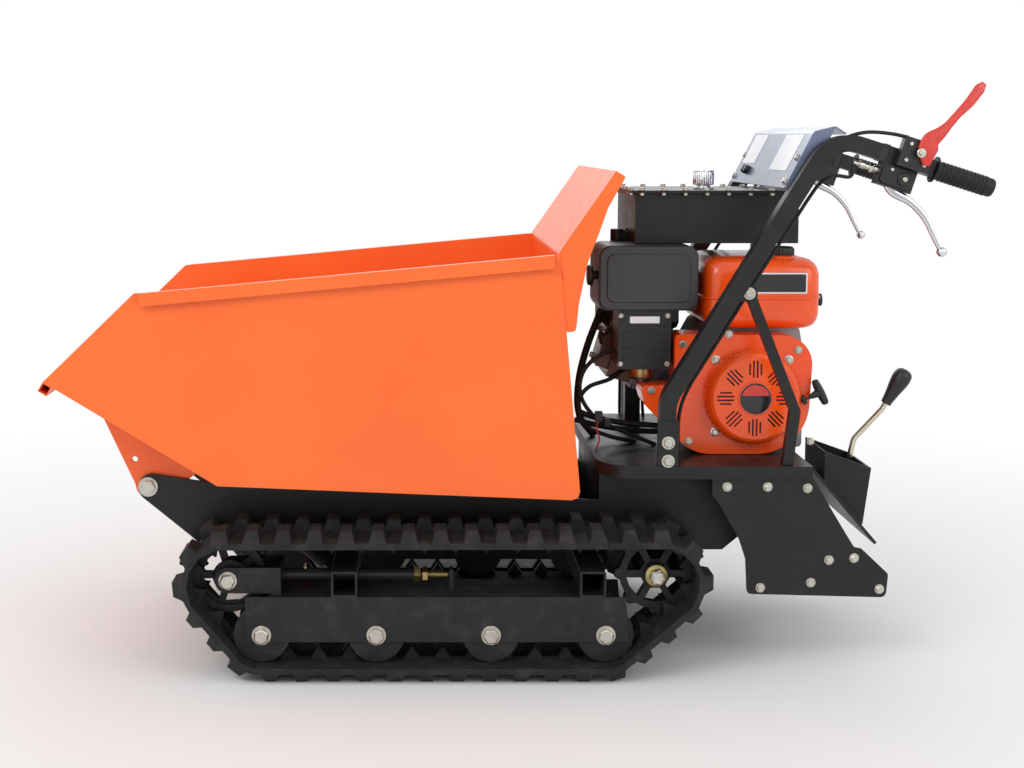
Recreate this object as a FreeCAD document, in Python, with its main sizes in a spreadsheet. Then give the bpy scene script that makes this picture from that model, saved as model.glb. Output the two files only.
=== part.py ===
import FreeCAD, Part
import math
import os
from FreeCAD import Placement, Rotation, Vector

# Walk-behind tracked carrier with a tipping skip. Millimetres, X forward to the skip's tip,
# Y to the machine's left, Z up, origin on the ground under the middle of its outline.

SIZES = [
    # cell name, value, what it measures
    ("track_gauge", 570, "middle of one track to the middle of the other"),
    ("track_width", 180, "rubber track, edge to edge"),
    ("belt_thickness", 12, "track belt without its lugs"),
    ("lug_height", 20, "lug above the belt"),
    ("lug_foot", 34, "lug's length along the belt at its foot"),
    ("lug_tip", 21, "lug's length along the belt at its tip"),
    ("lug_slope", 20, "width over which a lug's outer end slopes away"),
    ("belt_chord", 0.43, "turn of the belt from one straight chord to the next, radians"),
    ("link_count", 37, "lug pitches round the loop"),
    ("window_width", 30, "gap between the lug rows, over the drive windows"),
    ("window_length", 34, "drive window along the belt"),
    ("horn_height", 24, "guide horn above the belt's inside"),
    ("horn_width", 16, "guide horn across the belt"),
    ("horn_foot", 34, "guide horn along the belt at its foot, narrowing to a ridge"),
    ("seat_gap", 0.6, "clearance of the wheels' rims from the belt"),
    ("sprocket_x", -268, "drive sprocket's centre"),
    ("sprocket_z", 194, "drive sprocket's centre"),
    ("sprocket_pitch_radius", 76.4, "belt's middle line round the sprocket"),
    ("sprocket_teeth", 8, "teeth on the sprocket"),
    ("sprocket_width", 18, "sprocket's plate"),
    ("idler_x", 562, "front idler's centre"),
    ("idler_z", 190, "front idler's centre"),
    ("idler_pitch_radius", 78, "belt's middle line round the idler"),
    ("idler_width", 26, "idler's rim across"),
    ("wheel_rim", 13, "depth of the idler's and sprocket's rims"),
    ("wheel_web", 10, "idler's web between its windows"),
    ("small_bend", 15, "bends up to this radius are drawn as two chords"),
    ("roller_radius", 55, "track roller"),
    ("roller_first_x", -166, "rearmost roller"),
    ("roller_step", 220.7, "one roller to the next"),
    ("roller_count", 4, "rollers in one track"),
    ("roller_disc", 17.5, "width of a roller's disc"),
    ("roller_hub_radius", 22, "roller's hub"),
    ("axle_radius", 8, "roller's and idler's axle"),
    ("pin_gap", 0.1, "clearance round a pin in its bore"),
    ("frame_plate", 5, "wall of the roller frame"),
    ("frame_width", 120, "roller frame, outside"),
    ("frame_rear_x", -212, "roller frame's rear end"),
    ("frame_front_x", 527, "roller frame's front end"),
    ("frame_bottom_z", 74, "roller frame's open lower edge"),
    ("frame_top_z", 162, "roller frame's top"),
    ("cross_tube", 50, "square tube across the machine"),
    ("cross_tube_wall", 4, "its wall"),
    ("cross_front_x", 337, "front cross tube"),
    ("cross_rear_x", -141, "rear cross tube"),
    ("fork_gauge", 88, "idler's fork, outside"),
    ("fork_plate", 8, "side plate of the idler's fork"),
    ("fork_rear_x", 470, "idler fork's rear end"),
    ("fork_height", 50, "idler fork's plates"),
    ("tensioner_radius", 12.5, "tube of the track tensioner"),
    ("tensioner_rear_x", 203, "rear end of that tube"),
    ("tension_bolt_radius", 8, "its bolt"),
    ("tension_bolt_x", 134, "rear end of the bolt"),
    ("axle_tube_radius", 30, "drive axle's tube"),
    ("axle_shaft_radius", 12, "drive axle's shaft"),
    ("track_clearance", 8, "between a chassis plate and the track beside it"),
    ("chassis_width", "=track_gauge - track_width - 2 * track_clearance", "over the chassis's side plates"),
    ("chassis_plate", 6, "chassis's side plate"),
    ("chassis_rear_x", -560, "rear end of the side plates"),
    ("chassis_gap", 30, "skip's floor above the side plates"),
    ("deck_z", 403, "top of the engine deck"),
    ("deck_plate", 6, "engine deck's plate"),
    ("deck_width", 566, "engine deck across"),
    ("deck_front_x", -160, "engine deck's front edge"),
    ("deck_rear_x", -574, "where the deck folds down to the apron"),
    ("deck_flange", 25, "folded edge round the deck"),
    ("deck_corner", 80, "deck's front corners"),
    ("apron_end_x", -705, "apron's lower end"),
    ("apron_end_z", 250, "apron's lower end"),
    ("panel_plate", 3, "rear side panel"),
    ("skip_width", 650, "over the skip's side panels"),
    ("skip_sheet", 3, "skip's sheet steel"),
    ("skip_bend", 12, "inside radius of the sheet's bends"),
    ("floor_rear_x", -118, "skip floor's rear end"),
    ("floor_rear_z", 346, "skip floor's rear end"),
    ("floor_front_x", 581, "where the floor turns up"),
    ("floor_front_z", 374, "where the floor turns up"),
    ("tip_x", 912, "front tip of the skip"),
    ("tip_z", 576, "front tip of the skip"),
    ("rim_front_x", 736, "front end of the side panel's rim"),
    ("rim_front_z", 746, "front end of the side panel's rim"),
    ("rim_rear_x", -74, "rear end of the side panel's rim"),
    ("rim_rear_z", 821, "rear end of the side panel's rim"),
    ("rim_width", 14, "folded rim, outwards"),
    ("rim_depth", 25, "folded rim, downwards"),
    ("guard_top_x", -182, "top of the guard behind the skip"),
    ("guard_top_z", 977, "top of the guard behind the skip"),
    ("lip_tube", 20, "square tube under the skip's tip"),
    ("pivot_x", 738, "skip's pivot"),
    ("pivot_z", 341, "skip's pivot"),
    ("pivot_radius", 11, "pivot pin"),
    ("pivot_fit", 0.05, "clearance round the pivot pin in the ears"),
    ("pivot_washer_radius", 20, "washer on the pivot pin"),
    ("ear_plate", 8, "pivot ear under the skip"),
    ("ear_gap", 3, "between an ear and the chassis plate"),
    ("ear_boss", 30, "radius of the ear round its pivot"),
    ("tie_hole_radius", 6, "tie hole in each ear"),
    ("tie_hole_x", 766, "tie hole"),
    ("tie_hole_z", 395, "tie hole"),
    ("buffer_radius", 20, "rubber buffer under the skip"),
    ("buffer_gap", 0.3, "skip's floor above the buffers"),
    ("buffer_front_x", 420, "front pair of buffers"),
    ("buffer_rear_x", -60, "rear pair of buffers"),
    ("cylinder_base_x", 360, "lower pin of the tip cylinder"),
    ("cylinder_base_z", 120, "lower pin of the tip cylinder"),
    ("cylinder_eye_x", 650, "eye of the cylinder's rod"),
    ("cylinder_eye_z", 352, "eye of the cylinder's rod"),
    ("cylinder_radius", 25, "tip cylinder's barrel"),
    ("cylinder_length", 284, "tip cylinder's barrel"),
    ("rod_radius", 12.5, "tip cylinder's rod"),
    ("rod_fit", 0.5, "gap of the barrel's bore round the rod"),
    ("eye_radius", 20, "eyes of the tip cylinder"),
    ("eye_width", 30, "eyes of the tip cylinder"),
    ("eye_pin_radius", 8, "pins of the tip cylinder"),
    ("lug_plate", 8, "bracket plates of the tip cylinder"),
    ("lug_plate_gap", 3, "between such a plate and the eye"),
    ("handle_gauge", 524, "middle of one handlebar to the other"),
    ("handle_tube", 32, "handlebar's square tube"),
    ("handle_wall", 3, "its wall"),
    ("handle_base_x", -292, "handlebar's foot"),
    ("handle_knee_z", 531, "where the handlebar leans back"),
    ("handle_top_x", -602, "corner of the handlebar's upper bend"),
    ("handle_top_z", 1044, "corner of the handlebar's upper bend"),
    ("handle_bend", 70, "radius of its bends"),
    ("handle_end_x", -798, "end of the square tube"),
    ("handle_end_z", 981, "end of the square tube"),
    ("grip_length", 122, "rubber grip"),
    ("grip_radius", 18.5, "rubber grip"),
    ("grip_core", 12, "round bar in the grip"),
    ("blade_width", 13, "steering lever's flat bar"),
    ("blade_plate", 7, "its thickness"),
    ("lever_ball_radius", 10, "ball on a steering lever's end"),
    ("brace_tube", 20, "square brace of the handlebar"),
    ("brace_top_z", 742, "upper end of the brace"),
    ("brace_knee_x", -541, "knee of the brace"),
    ("brace_knee_z", 510, "knee of the brace"),
    ("brace_foot_x", -528, "foot of the brace"),
    ("console_sheet", 3, "console's folded sheet"),
    ("console_front_x", -516, "console's lower front edge"),
    ("console_front_z", 944, "console's lower front edge"),
    ("console_top_x", -572, "console's upper front fold"),
    ("console_top_z", 1054, "console's upper front fold"),
    ("tank_length", 333, "hydraulic tank"),
    ("tank_width", 260, "hydraulic tank"),
    ("tank_height", 103, "hydraulic tank"),
    ("tank_rear_x", -581, "hydraulic tank's rear face"),
    ("tank_right_y", -150, "hydraulic tank's right face"),
    ("tank_bottom_z", 827, "hydraulic tank's underside"),
    ("tank_lid", 5, "hydraulic tank's bolted lid"),
    ("tank_lid_rim", 12, "lid past the tank's walls"),
    ("post_size", 33, "square post under the tank"),
    ("crank_x", -478, "engine's crankshaft"),
    ("crank_z", 523, "engine's crankshaft"),
    ("cylinder_tilt", 16, "engine cylinder's lean from level, degrees"),
    ("recoil_radius", 97, "recoil starter's cover"),
    ("recoil_face_y", 202, "its outer face"),
    ("slot_width", 3.4, "cooling slot in that cover"),
    ("slot_pitch", 7.5, "one such slot to the next in its group"),
    ("slot_depth", 5, "depth of those slots"),
    ("fuel_front_x", -385, "fuel tank's front"),
    ("fuel_rear_x", -622, "fuel tank's rear"),
    ("fuel_left_y", 150, "fuel tank's left side"),
    ("fuel_right_y", -120, "fuel tank's right side"),
    ("fuel_bottom_z", 655, "fuel tank's underside"),
    ("fuel_top_z", 800, "fuel tank's top"),
    ("seam_z", 742, "seam flange round the fuel tank"),
    ("seam_rim", 3, "that flange past the tank's walls"),
]

doc = FreeCAD.newDocument("tracked_carrier")
sheet = doc.addObject("Spreadsheet::Sheet", "sizes")
for row, (name, number, note) in enumerate(SIZES, start=1):
    sheet.set(f"A{row}", str(number))
    sheet.setAlias(f"A{row}", name)
    sheet.set(f"B{row}", note)
doc.recompute()


class Sizes:
    """The sheet's cells as plain numbers."""

    def __getattr__(self, name):
        return float(sheet.get(name))


z = Sizes()
SIDES = (("left", 1), ("right", -1))
PARTS = []


def keep(thing, label):
    """Names a finished piece and lists it for writing."""
    thing.Label = label
    PARTS.append(thing)
    return thing


def bind(thing, cells):
    for place, formula in cells.items():
        thing.setExpression(place, formula)


def flat(x, y):
    return Vector(x, y, 0)


def outline(corners):
    """Lines and tangent arcs round a closed shape; a corner is (x, y) or (x, y, radius).

    Small bends are drawn as two chords.
    """
    bends = []
    for i, corner in enumerate(corners):
        here = flat(*corner[:2])
        radius = corner[2] if len(corner) > 2 else 0
        if radius <= 0:
            bends.append((here, here, None))
            continue
        back = (flat(*corners[i - 1][:2]) - here).normalize()
        ahead = (flat(*corners[(i + 1) % len(corners)][:2]) - here).normalize()
        half = back.getAngle(ahead) / 2
        inward = (back + ahead).normalize()
        middle = here + inward * (radius / math.sin(half) - radius)
        reach = radius / math.tan(half)
        bends.append((here + back * reach, here + ahead * reach, middle))
    edges = []
    for i, (start, end, middle) in enumerate(bends):
        if middle is not None and len(corners[i]) > 2 and corners[i][2] > z.small_bend:
            edges.append(Part.Arc(start, middle, end))
        elif middle is not None:
            edges += [Part.LineSegment(start, middle), Part.LineSegment(middle, end)]
        following = bends[(i + 1) % len(bends)][0]
        if (following - end).Length > 1e-6:
            edges.append(Part.LineSegment(end, following))
    return edges


def circle(x, y, radius):
    return Part.Circle(flat(x, y), Vector(0, 0, 1), radius)


def offset_line(points, distance):
    """The points of an open line moved to its left by a distance."""
    normals = []
    for (ax, ay), (bx, by) in zip(points, points[1:]):
        length = math.hypot(bx - ax, by - ay)
        normals.append(((ay - by) / length, (bx - ax) / length))
    moved = []
    for i, (px, py) in enumerate(points):
        before = normals[max(i - 1, 0)]
        after = normals[min(i, len(normals) - 1)]
        sx, sy = before[0] + after[0], before[1] + after[1]
        share = 2 * distance / (sx * sx + sy * sy)
        moved.append((px + sx * share, py + sy * share))
    return moved


def folded(points, thickness, bend):
    """Closed corners of a sheet folded along the points, its thickness to their left."""
    other = offset_line(points, thickness)
    near, far = [], []
    for i, (here, there) in enumerate(zip(points, other)):
        radii = (0, 0)
        if 0 < i < len(points) - 1:
            (ax, ay), (bx, by) = points[i - 1], points[i + 1]
            left_turn = (here[0] - ax) * (by - here[1]) > (here[1] - ay) * (bx - here[0])
            radii = (bend + thickness, bend) if left_turn else (bend, bend + thickness)
        near.append((*here, radii[0]))
        far.append((*there, radii[1]))
    return near + far[::-1]


def sketch_on(body, role, name):
    sketch = body.newObject("Sketcher::SketchObject", name)
    plane = next(f for f in body.Origin.OriginFeatures if f.Role == role)
    sketch.AttachmentSupport = (plane, [""])
    sketch.MapMode = "FlatFace"
    return sketch


def ring_corners(x, y, radius, sides):
    """The corners of a regular outline, a flat one uppermost."""
    steps = [2 * math.pi * (i + 0.5) / sides + math.pi / 2 for i in range(sides)]
    return [(x + radius * math.cos(a), y + radius * math.sin(a)) for a in steps]


def plate(label, role, corners, thickness, middle="0", holes=(), windows=()):
    """A pad of a closed outline, its thickness and its middle's place given as formulas.

    XZ_Plane outlines are (x, z) and the pad runs along Y; XY_Plane ones are (x, y) along Z;
    YZ_Plane ones are (y, z) along X. A hole is (x, y, radius); a window is a list of corners.
    """
    body = doc.addObject("PartDesign::Body", label)
    sketch = sketch_on(body, role, label + "_outline")
    sketch.addGeometry(outline(corners) + [circle(*hole) for hole in holes])
    for window in windows:
        sketch.addGeometry(outline(window))
    pad = body.newObject("PartDesign::Pad", label + "_pad")
    pad.Profile = sketch
    pad.SideType = "Symmetric"
    bind(pad, {"Length": thickness})
    axis = {"XZ_Plane": "y", "XY_Plane": "z", "YZ_Plane": "x"}[role]
    bind(body, {f"Placement.Base.{axis}": middle})
    body.Tip = pad
    return body


def pocket(body, role, corners, depth, name):
    """Cuts an outline through the body, both ways from the plane, by half the depth each."""
    sketch = sketch_on(body, role, name + "_outline")
    sketch.addGeometry(outline(corners))
    cut = body.newObject("PartDesign::Pocket", name)
    cut.Profile = sketch
    cut.SideType = "Symmetric"
    bind(cut, {"Length": depth})
    body.Tip = cut
    return body


def box(label, size, corner):
    """A Part::Box; its three sizes and its lowest corner are formulas."""
    thing = doc.addObject("Part::Box", label)
    bind(thing, dict(zip(("Length", "Width", "Height"), size)))
    places = ("Placement.Base.x", "Placement.Base.y", "Placement.Base.z")
    bind(thing, dict(zip(places, corner)))
    return thing


def rod(label, radius, length, start, axis):
    """A Part::Cylinder from a start point (formulas) along an axis."""
    thing = doc.addObject("Part::Cylinder", label)
    thing.Placement.Rotation = Rotation(Vector(0, 0, 1), axis)
    bind(thing, {"Radius": radius, "Height": length})
    places = ("Placement.Base.x", "Placement.Base.y", "Placement.Base.z")
    bind(thing, dict(zip(places, start)))
    return thing


def flats(label, sides, radius, length, start, axis):
    """A Part::Prism in place of a rod, for small or repeated pieces: radius over its corners."""
    thing = doc.addObject("Part::Prism", label)
    thing.Polygon = sides
    thing.Placement.Rotation = Rotation(Vector(0, 0, 1), axis)
    bind(thing, {"Circumradius": radius, "Height": length})
    places = ("Placement.Base.x", "Placement.Base.y", "Placement.Base.z")
    bind(thing, dict(zip(places, start)))
    return thing


def fused(label, pieces):
    thing = doc.addObject("Part::MultiFuse", label)
    thing.Shapes = pieces
    thing.Refine = True
    return thing


def cut(label, base, tool):
    thing = doc.addObject("Part::Cut", label)
    thing.Base = base
    thing.Tool = tool
    return thing


def mirrored(label, source):
    thing = doc.addObject("Part::Mirroring", label)
    thing.Source = source
    thing.Normal = Vector(0, 1, 0)
    return thing


def shaped(label, shape):
    thing = doc.addObject("Part::Feature", label)
    thing.Shape = shape
    return thing


def prism(edges, start, along):
    """A solid from closed edges drawn in XY, stood up into XZ at y = start and run along Y."""
    face = Part.Face(Part.Wire([edge.toShape() for edge in edges]))
    face.rotate(Vector(0, 0, 0), Vector(1, 0, 0), 90)
    face.translate(Vector(0, start, 0))
    return face.extrude(Vector(0, along, 0))


def both_sides(label, make):
    """A left piece and its mirror image, kept as two nodes."""
    left = keep(make(label + "_left"), label + "_left")
    keep(mirrored(label + "_right", left), label + "_right")
    return left


def arc_path(points, radii):
    """A wire of straight runs joined by tangent arcs of the given radii at its inner points."""
    edges = []
    start = Vector(*points[0])
    for i, radius in enumerate(radii, start=1):
        before, here, after = (Vector(*points[j]) for j in (i - 1, i, i + 1))
        back = (before - here).normalize()
        ahead = (after - here).normalize()
        half = back.getAngle(ahead) / 2
        reach = radius / math.tan(half)
        middle = here + (back + ahead).normalize() * (radius / math.sin(half) - radius)
        edges.append(Part.LineSegment(start, here + back * reach).toShape())
        edges.append(Part.Arc(here + back * reach, middle, here + ahead * reach).toShape())
        start = here + ahead * reach
    edges.append(Part.LineSegment(start, Vector(*points[-1])).toShape())
    return Part.Wire(edges)


def square_tube(path, size, wall):
    """A square tube along a path that lies in an XZ plane."""
    first = path.Edges[0]
    start = first.valueAt(first.FirstParameter)
    along = first.tangentAt(first.FirstParameter)
    solids = []
    for half in (size / 2, size / 2 - wall):
        across = Vector(0, half, 0)
        up = along.cross(Vector(0, 1, 0)) * half
        corners = [start + across + up, start - across + up, start - across - up, start + across - up]
        section = Part.makePolygon(corners + corners[:1])
        solids.append(path.makePipeShell([section], True, False, 1))
    return solids[0].cut(solids[1])


# Track loop: the belt's middle line runs round four circles, from the sprocket by way of the
# lower rollers to the idler, and back along the top.

roller_z = z.lug_height + z.belt_thickness + z.seat_gap + z.roller_radius
roller_last_x = z.roller_first_x + z.roller_step * (z.roller_count - 1)
roller_turn = z.roller_radius + z.seat_gap + z.belt_thickness / 2
LOOP = [
    # x, z, radius of the belt's middle line
    (z.sprocket_x, z.sprocket_z, z.sprocket_pitch_radius),
    (z.roller_first_x, roller_z, roller_turn),
    (roller_last_x, roller_z, roller_turn),
    (z.idler_x, z.idler_z, z.idler_pitch_radius),
]


def loop_pieces():
    """The middle line's arcs and straights in turn: (length, kind, data)."""
    leaving = []
    for (ax, az, ar), (bx, bz, br) in zip(LOOP, LOOP[1:] + LOOP[:1]):
        span = math.hypot(bx - ax, bz - az)
        leaving.append(math.atan2(bz - az, bx - ax) - math.acos((ar - br) / span))
    pieces = []
    for i, (cx, cz, radius) in enumerate(LOOP):
        begin = leaving[i - 1]
        turn = (leaving[i] - begin) % (2 * math.pi)
        pieces.append((radius * turn, "arc", (cx, cz, radius, begin)))
        nx, nz, nr = LOOP[(i + 1) % len(LOOP)]
        start = (cx + radius * math.cos(leaving[i]), cz + radius * math.sin(leaving[i]))
        end = (nx + nr * math.cos(leaving[i]), nz + nr * math.sin(leaving[i]))
        length = math.hypot(end[0] - start[0], end[1] - start[1])
        pieces.append((length, "line", (start, end, leaving[i])))
    return pieces


PIECES = loop_pieces()
loop_length = sum(piece[0] for piece in PIECES)
link_pitch = loop_length / z.link_count


def on_loop(distance, out):
    """The point at a distance round the loop, set out from the middle line."""
    distance = distance % loop_length
    for length, kind, data in PIECES:
        if distance <= length:
            break
        distance -= length
    if kind == "arc":
        cx, cz, radius, begin = data
        angle = begin + distance / radius
        return cx + (radius + out) * math.cos(angle), cz + (radius + out) * math.sin(angle)
    start, end, normal = data
    share = distance / length
    x = start[0] + (end[0] - start[0]) * share + out * math.cos(normal)
    return x, start[1] + (end[1] - start[1]) * share + out * math.sin(normal)


def toothed(phase):
    """Corners (x, z) of a ring with one lug on each link."""
    corners = []
    foot, tip = z.lug_foot / 2, z.lug_tip / 2
    base = z.belt_thickness / 2
    for link in range(int(z.link_count)):
        centre = (link + phase) * link_pitch
        low = [on_loop(centre + side * foot, base) for side in (-1, 1)]
        high = [on_loop(centre + side * tip, base + z.lug_height) for side in (-1, 1)]
        corners += [low[0], high[0], high[1], low[1]]
    return corners


def ring_edges(out, outside):
    """The loop's ring in chords, set out from its middle line and kept outside it or inside."""
    corners = []
    for length, kind, data in PIECES:
        if kind == "line":
            continue
        cx, cz, radius, begin = data
        turn = length / radius
        count = max(2, round(turn / z.belt_chord))
        step = turn / count
        reach = radius + out
        places = [begin + step * i for i in range(count + 1)]
        if outside:
            reach /= math.cos(step / 2)
            places = [begin + step * (i + 0.5) for i in range(count)]
        corners += [(cx + reach * math.cos(a), cz + reach * math.sin(a)) for a in places]
    return outline(corners)


def polygon_wire(corners, y):
    points = [Vector(x, y, up) for x, up in corners]
    return Part.makePolygon(points + points[:1])


def lug_end(centre, start, way):
    """The wedge that slopes a lug's end away, from a start beside it down to the belt's edge."""
    base = z.belt_thickness / 2
    places = []
    for half, out in ((z.lug_tip / 2, base + z.lug_height), (z.lug_foot / 2, base)):
        for side in (-1, 1):
            x, up = on_loop(centre + side * half, out)
            places.append(Vector(x, start, up))
    along = (places[1] - places[0]).normalize()
    top = (places[0] + places[1]) / 2
    edge = (places[2] + places[3]) / 2 + Vector(0, way * z.lug_slope, 0)
    past = edge + (edge - top) / z.lug_slope
    corners = [top, Vector(top.x, past.y, top.z), past, top]
    wedge = Part.Face(Part.makePolygon([corner - along * z.lug_foot for corner in corners]))
    return wedge.extrude(along * 2 * z.lug_foot)


def link_block(centre, lengths, outs, start, width):
    """A block on the belt: its lengths along the belt at two distances out from the middle line."""
    (near, far), (low, high) = lengths, outs
    corners = [
        on_loop(centre - near / 2, low), on_loop(centre + near / 2, low),
        on_loop(centre + far / 2, high), on_loop(centre - far / 2, high),
    ]
    if not far:
        corners.pop()
    return Part.Face(polygon_wire(corners, start)).extrude(Vector(0, width, 0))


def track(label):
    """The left track: two staggered rows of lugs on a belt, sloping away at its edges.

    Guide horns stand in two rows inside it, with a drive window between each pair.
    """
    half_belt = z.belt_thickness / 2
    middle = z.track_gauge / 2
    half_window = z.window_width / 2
    row = z.track_width / 2 - half_window - z.lug_slope
    bands, ends = [], []
    for phase, way in ((0.0, 1), (0.5, -1)):
        edge = middle + way * half_window
        full = toothed(phase)
        width = Vector(0, way * (row + z.lug_slope), 0)
        bands.append(Part.Face(polygon_wire(full, edge)).extrude(width))
        for link in range(int(z.link_count)):
            ends.append(lug_end((link + phase) * link_pitch, edge + way * row, way))
    inside = prism(ring_edges(-half_belt, True), middle - z.track_width, 2 * z.track_width)
    centre = prism(ring_edges(half_belt, False), middle - half_window, z.window_width)
    windows, horns = [], []
    for link in range(int(z.link_count)):
        at = link * link_pitch
        windows.append(link_block(
            at, (z.window_length, z.window_length), (-half_belt - 3, half_belt + 3),
            middle - half_window, z.window_width,
        ))
        for start in (middle + half_window, middle - half_window - z.horn_width):
            horns.append(link_block(
                at + link_pitch / 2, (z.horn_foot, 0),
                (-half_belt + 2, -half_belt - z.horn_height), start, z.horn_width,
            ))
    whole = centre.fuse([band.cut(ends) for band in bands]).cut([inside] + windows).fuse(horns)
    return shaped(label, whole.removeSplitter())


both_sides("track", track)


# Wheels in the track: rollers in the roller frame, idler in front, sprocket behind.

TRACK_Y = "sizes.track_gauge / 2"
ROLLER_Z = "sizes.lug_height + sizes.belt_thickness + sizes.seat_gap + sizes.roller_radius"
frame_half = z.frame_width / 2
frame_inner = frame_half - z.frame_plate


def grouped(label, things):
    thing = doc.addObject("Part::Compound", label)
    thing.Links = things
    return thing


def placed(thing, x, y, up):
    bind(thing, {"Placement.Base.x": x, "Placement.Base.y": y, "Placement.Base.z": up})
    return thing


def across(label, sides, radius, near, far, x, middle, up):
    """A piece with flats along Y, from near to far of a middle place given as a formula."""
    start = (x, f"{middle} + {near}", up)
    return flats(label, sides, radius, str(far - near), start, Vector(0, 1, 0))


def rollers(label):
    """Double rollers with flats: two discs on a hub, which leave room for the guide horns."""
    inner = z.window_width / 2 + z.horn_width + 6
    outer = inner + z.roller_disc
    parts = (
        # name, sides, radius, near end, far end
        ("axle", 6, "sizes.axle_radius", -frame_half, frame_half),
        ("hub", 6, "sizes.roller_hub_radius", -inner - 1, inner + 1),
        ("outer_disc", 16, "sizes.roller_radius", inner, outer),
        ("inner_disc", 16, "sizes.roller_radius", -outer, -inner),
    )
    wheels = []
    for i in range(int(z.roller_count)):
        x = f"sizes.roller_first_x + {i} * sizes.roller_step"
        pieces = []
        for name, sides, radius, near, far in parts:
            pieces.append(across(f"{label}_{i}_{name}", sides, radius, near, far, x, TRACK_Y, ROLLER_Z))
        wheels.append(fused(f"{label}_{i}", pieces))
    return grouped(label, wheels)


def axle_flats(x, up):
    """The hexagonal bore round an axle's flats, turned as the axle is."""
    radius = z.axle_radius + z.pin_gap
    steps = [math.pi / 3 * i for i in range(6)]
    return [(x + radius * math.cos(a), up + radius * math.sin(a)) for a in steps]


def roller_frame(label):
    """An inverted channel over the rollers, open below, cut back for the sprocket behind."""
    slant = 8
    corners = [
        (z.frame_rear_x, z.frame_bottom_z), (z.frame_front_x, z.frame_bottom_z),
        (z.frame_front_x, z.frame_top_z), (z.frame_rear_x + slant, z.frame_top_z),
    ]
    body = plate(label + "_block", "XZ_Plane", corners, "sizes.frame_width", TRACK_Y)
    ceiling = z.frame_top_z - z.frame_plate
    below = z.frame_bottom_z - 10
    inside = [
        (z.frame_rear_x - 10, below), (z.frame_front_x + 10, below),
        (z.frame_front_x + 10, ceiling), (z.frame_rear_x - 10, ceiling),
    ]
    between = "sizes.frame_width - 2 * sizes.frame_plate"
    pocket(body, "XZ_Plane", inside, between, label + "_trough")
    rear_notch = (z.frame_rear_x - 10, z.sprocket_x + z.sprocket_pitch_radius + 10)
    front_notch = (z.idler_x - z.idler_pitch_radius, z.frame_front_x + 10)
    for name, (start, end) in (("rear", rear_notch), ("front", front_notch)):
        above = z.frame_top_z + 10
        notch = [(start, below), (end, below), (end, above), (start, above)]
        pocket(body, "XZ_Plane", notch, between, f"{label}_{name}_notch")
    bores = body.newObject("PartDesign::Pocket", label + "_bores")
    sketch = sketch_on(body, "XZ_Plane", label + "_bore_circles")
    for i in range(int(z.roller_count)):
        x = z.roller_first_x + i * z.roller_step
        for edge in outline(axle_flats(x, roller_z)):
            sketch.addGeometry(edge)
    bores.Profile = sketch
    bores.SideType = "Symmetric"
    bind(bores, {"Length": "sizes.frame_width + 20"})
    body.Tip = bores
    rise = "sizes.idler_z + sizes.tensioner_radius - sizes.frame_top_z"
    behind = "sizes.tension_bolt_x - sizes.lug_plate"
    stop = box(
        label + "_stop", ("sizes.lug_plate", "2 * sizes.tensioner_radius", rise),
        (behind, TRACK_Y + " - sizes.tensioner_radius", "sizes.frame_top_z"),
    )
    return fused(label + "_whole", [body, stop])


def spoke_windows(count, inner, outer, arm):
    """Windows with straight sides between the arms of a wheel, in its own (x, z)."""
    windows = []
    for i in range(count):
        middle = 2 * math.pi * (i + 0.5) / count
        corners = []
        for radius, way in ((inner, -1), (outer, -1), (outer, 0), (outer, 1), (inner, 1)):
            half = math.pi / count - math.asin(arm / 2 / radius)
            angle = middle + way * half
            corners.append((radius * math.cos(angle), radius * math.sin(angle)))
        windows.append(corners)
    return windows


def idler(label):
    """The front wheel: a rim with flats, a web with windows and a hub on the axle."""
    rim = z.idler_pitch_radius - z.belt_thickness / 2 - z.seat_gap
    ring = rim - z.wheel_rim
    sides = 20
    windows = spoke_windows(5, 26, ring - 5, 14)
    hub_half = z.fork_gauge / 2 - z.fork_plate - 0.5
    inside = [ring_corners(0, 0, ring, sides)]
    bore = [axle_flats(0, 0)]
    pieces = [
        plate(
            label + "_rim", "XZ_Plane", ring_corners(0, 0, rim, sides), "sizes.idler_width",
            windows=inside,
        ),
        plate(
            label + "_web", "XZ_Plane", ring_corners(0, 0, ring + 0.5, sides), "sizes.wheel_web",
            windows=windows + bore,
        ),
        plate(label + "_hub", "XZ_Plane", ring_corners(0, 0, 20, 8), str(2 * hub_half), windows=bore),
    ]
    wheel = fused(label, pieces)
    return placed(wheel, "sizes.idler_x", TRACK_Y, "sizes.idler_z")


def sprocket(label):
    """The drive wheel: a toothed plate with windows; its teeth stand in the belt's windows."""
    rim = z.sprocket_pitch_radius - z.belt_thickness / 2 - z.seat_gap
    first = PIECES[0][2][3]
    corners = []
    for i in range(int(z.sprocket_teeth)):
        angle = first + 2 * math.pi * i / z.sprocket_teeth
        out = Vector(math.cos(angle), math.sin(angle), 0)
        along = Vector(-math.sin(angle), math.cos(angle), 0)
        for half, radius in ((-13, rim - 1), (-6.5, rim + 9.5), (6.5, rim + 9.5), (13, rim - 1)):
            corner = out * radius + along * half
            corners.append((corner.x, corner.y))
        angle += math.pi / z.sprocket_teeth
        corners.append((rim * math.cos(angle), rim * math.sin(angle)))
    windows = spoke_windows(6, 30, rim - z.wheel_rim, 13)
    shaft = [ring_corners(0, 0, z.axle_shaft_radius + z.pin_gap, 12)]
    toothed_plate = plate(
        label + "_plate", "XZ_Plane", corners, "sizes.sprocket_width", windows=windows + shaft,
    )
    hub = plate(label + "_hub", "XZ_Plane", ring_corners(0, 0, 24, 12), "44", windows=shaft)
    return placed(fused(label, [toothed_plate, hub]), "sizes.sprocket_x", TRACK_Y, "sizes.sprocket_z")


both_sides("rollers", rollers)
both_sides("roller_frame", roller_frame)
both_sides("idler", idler)
both_sides("sprocket", sprocket)


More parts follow.
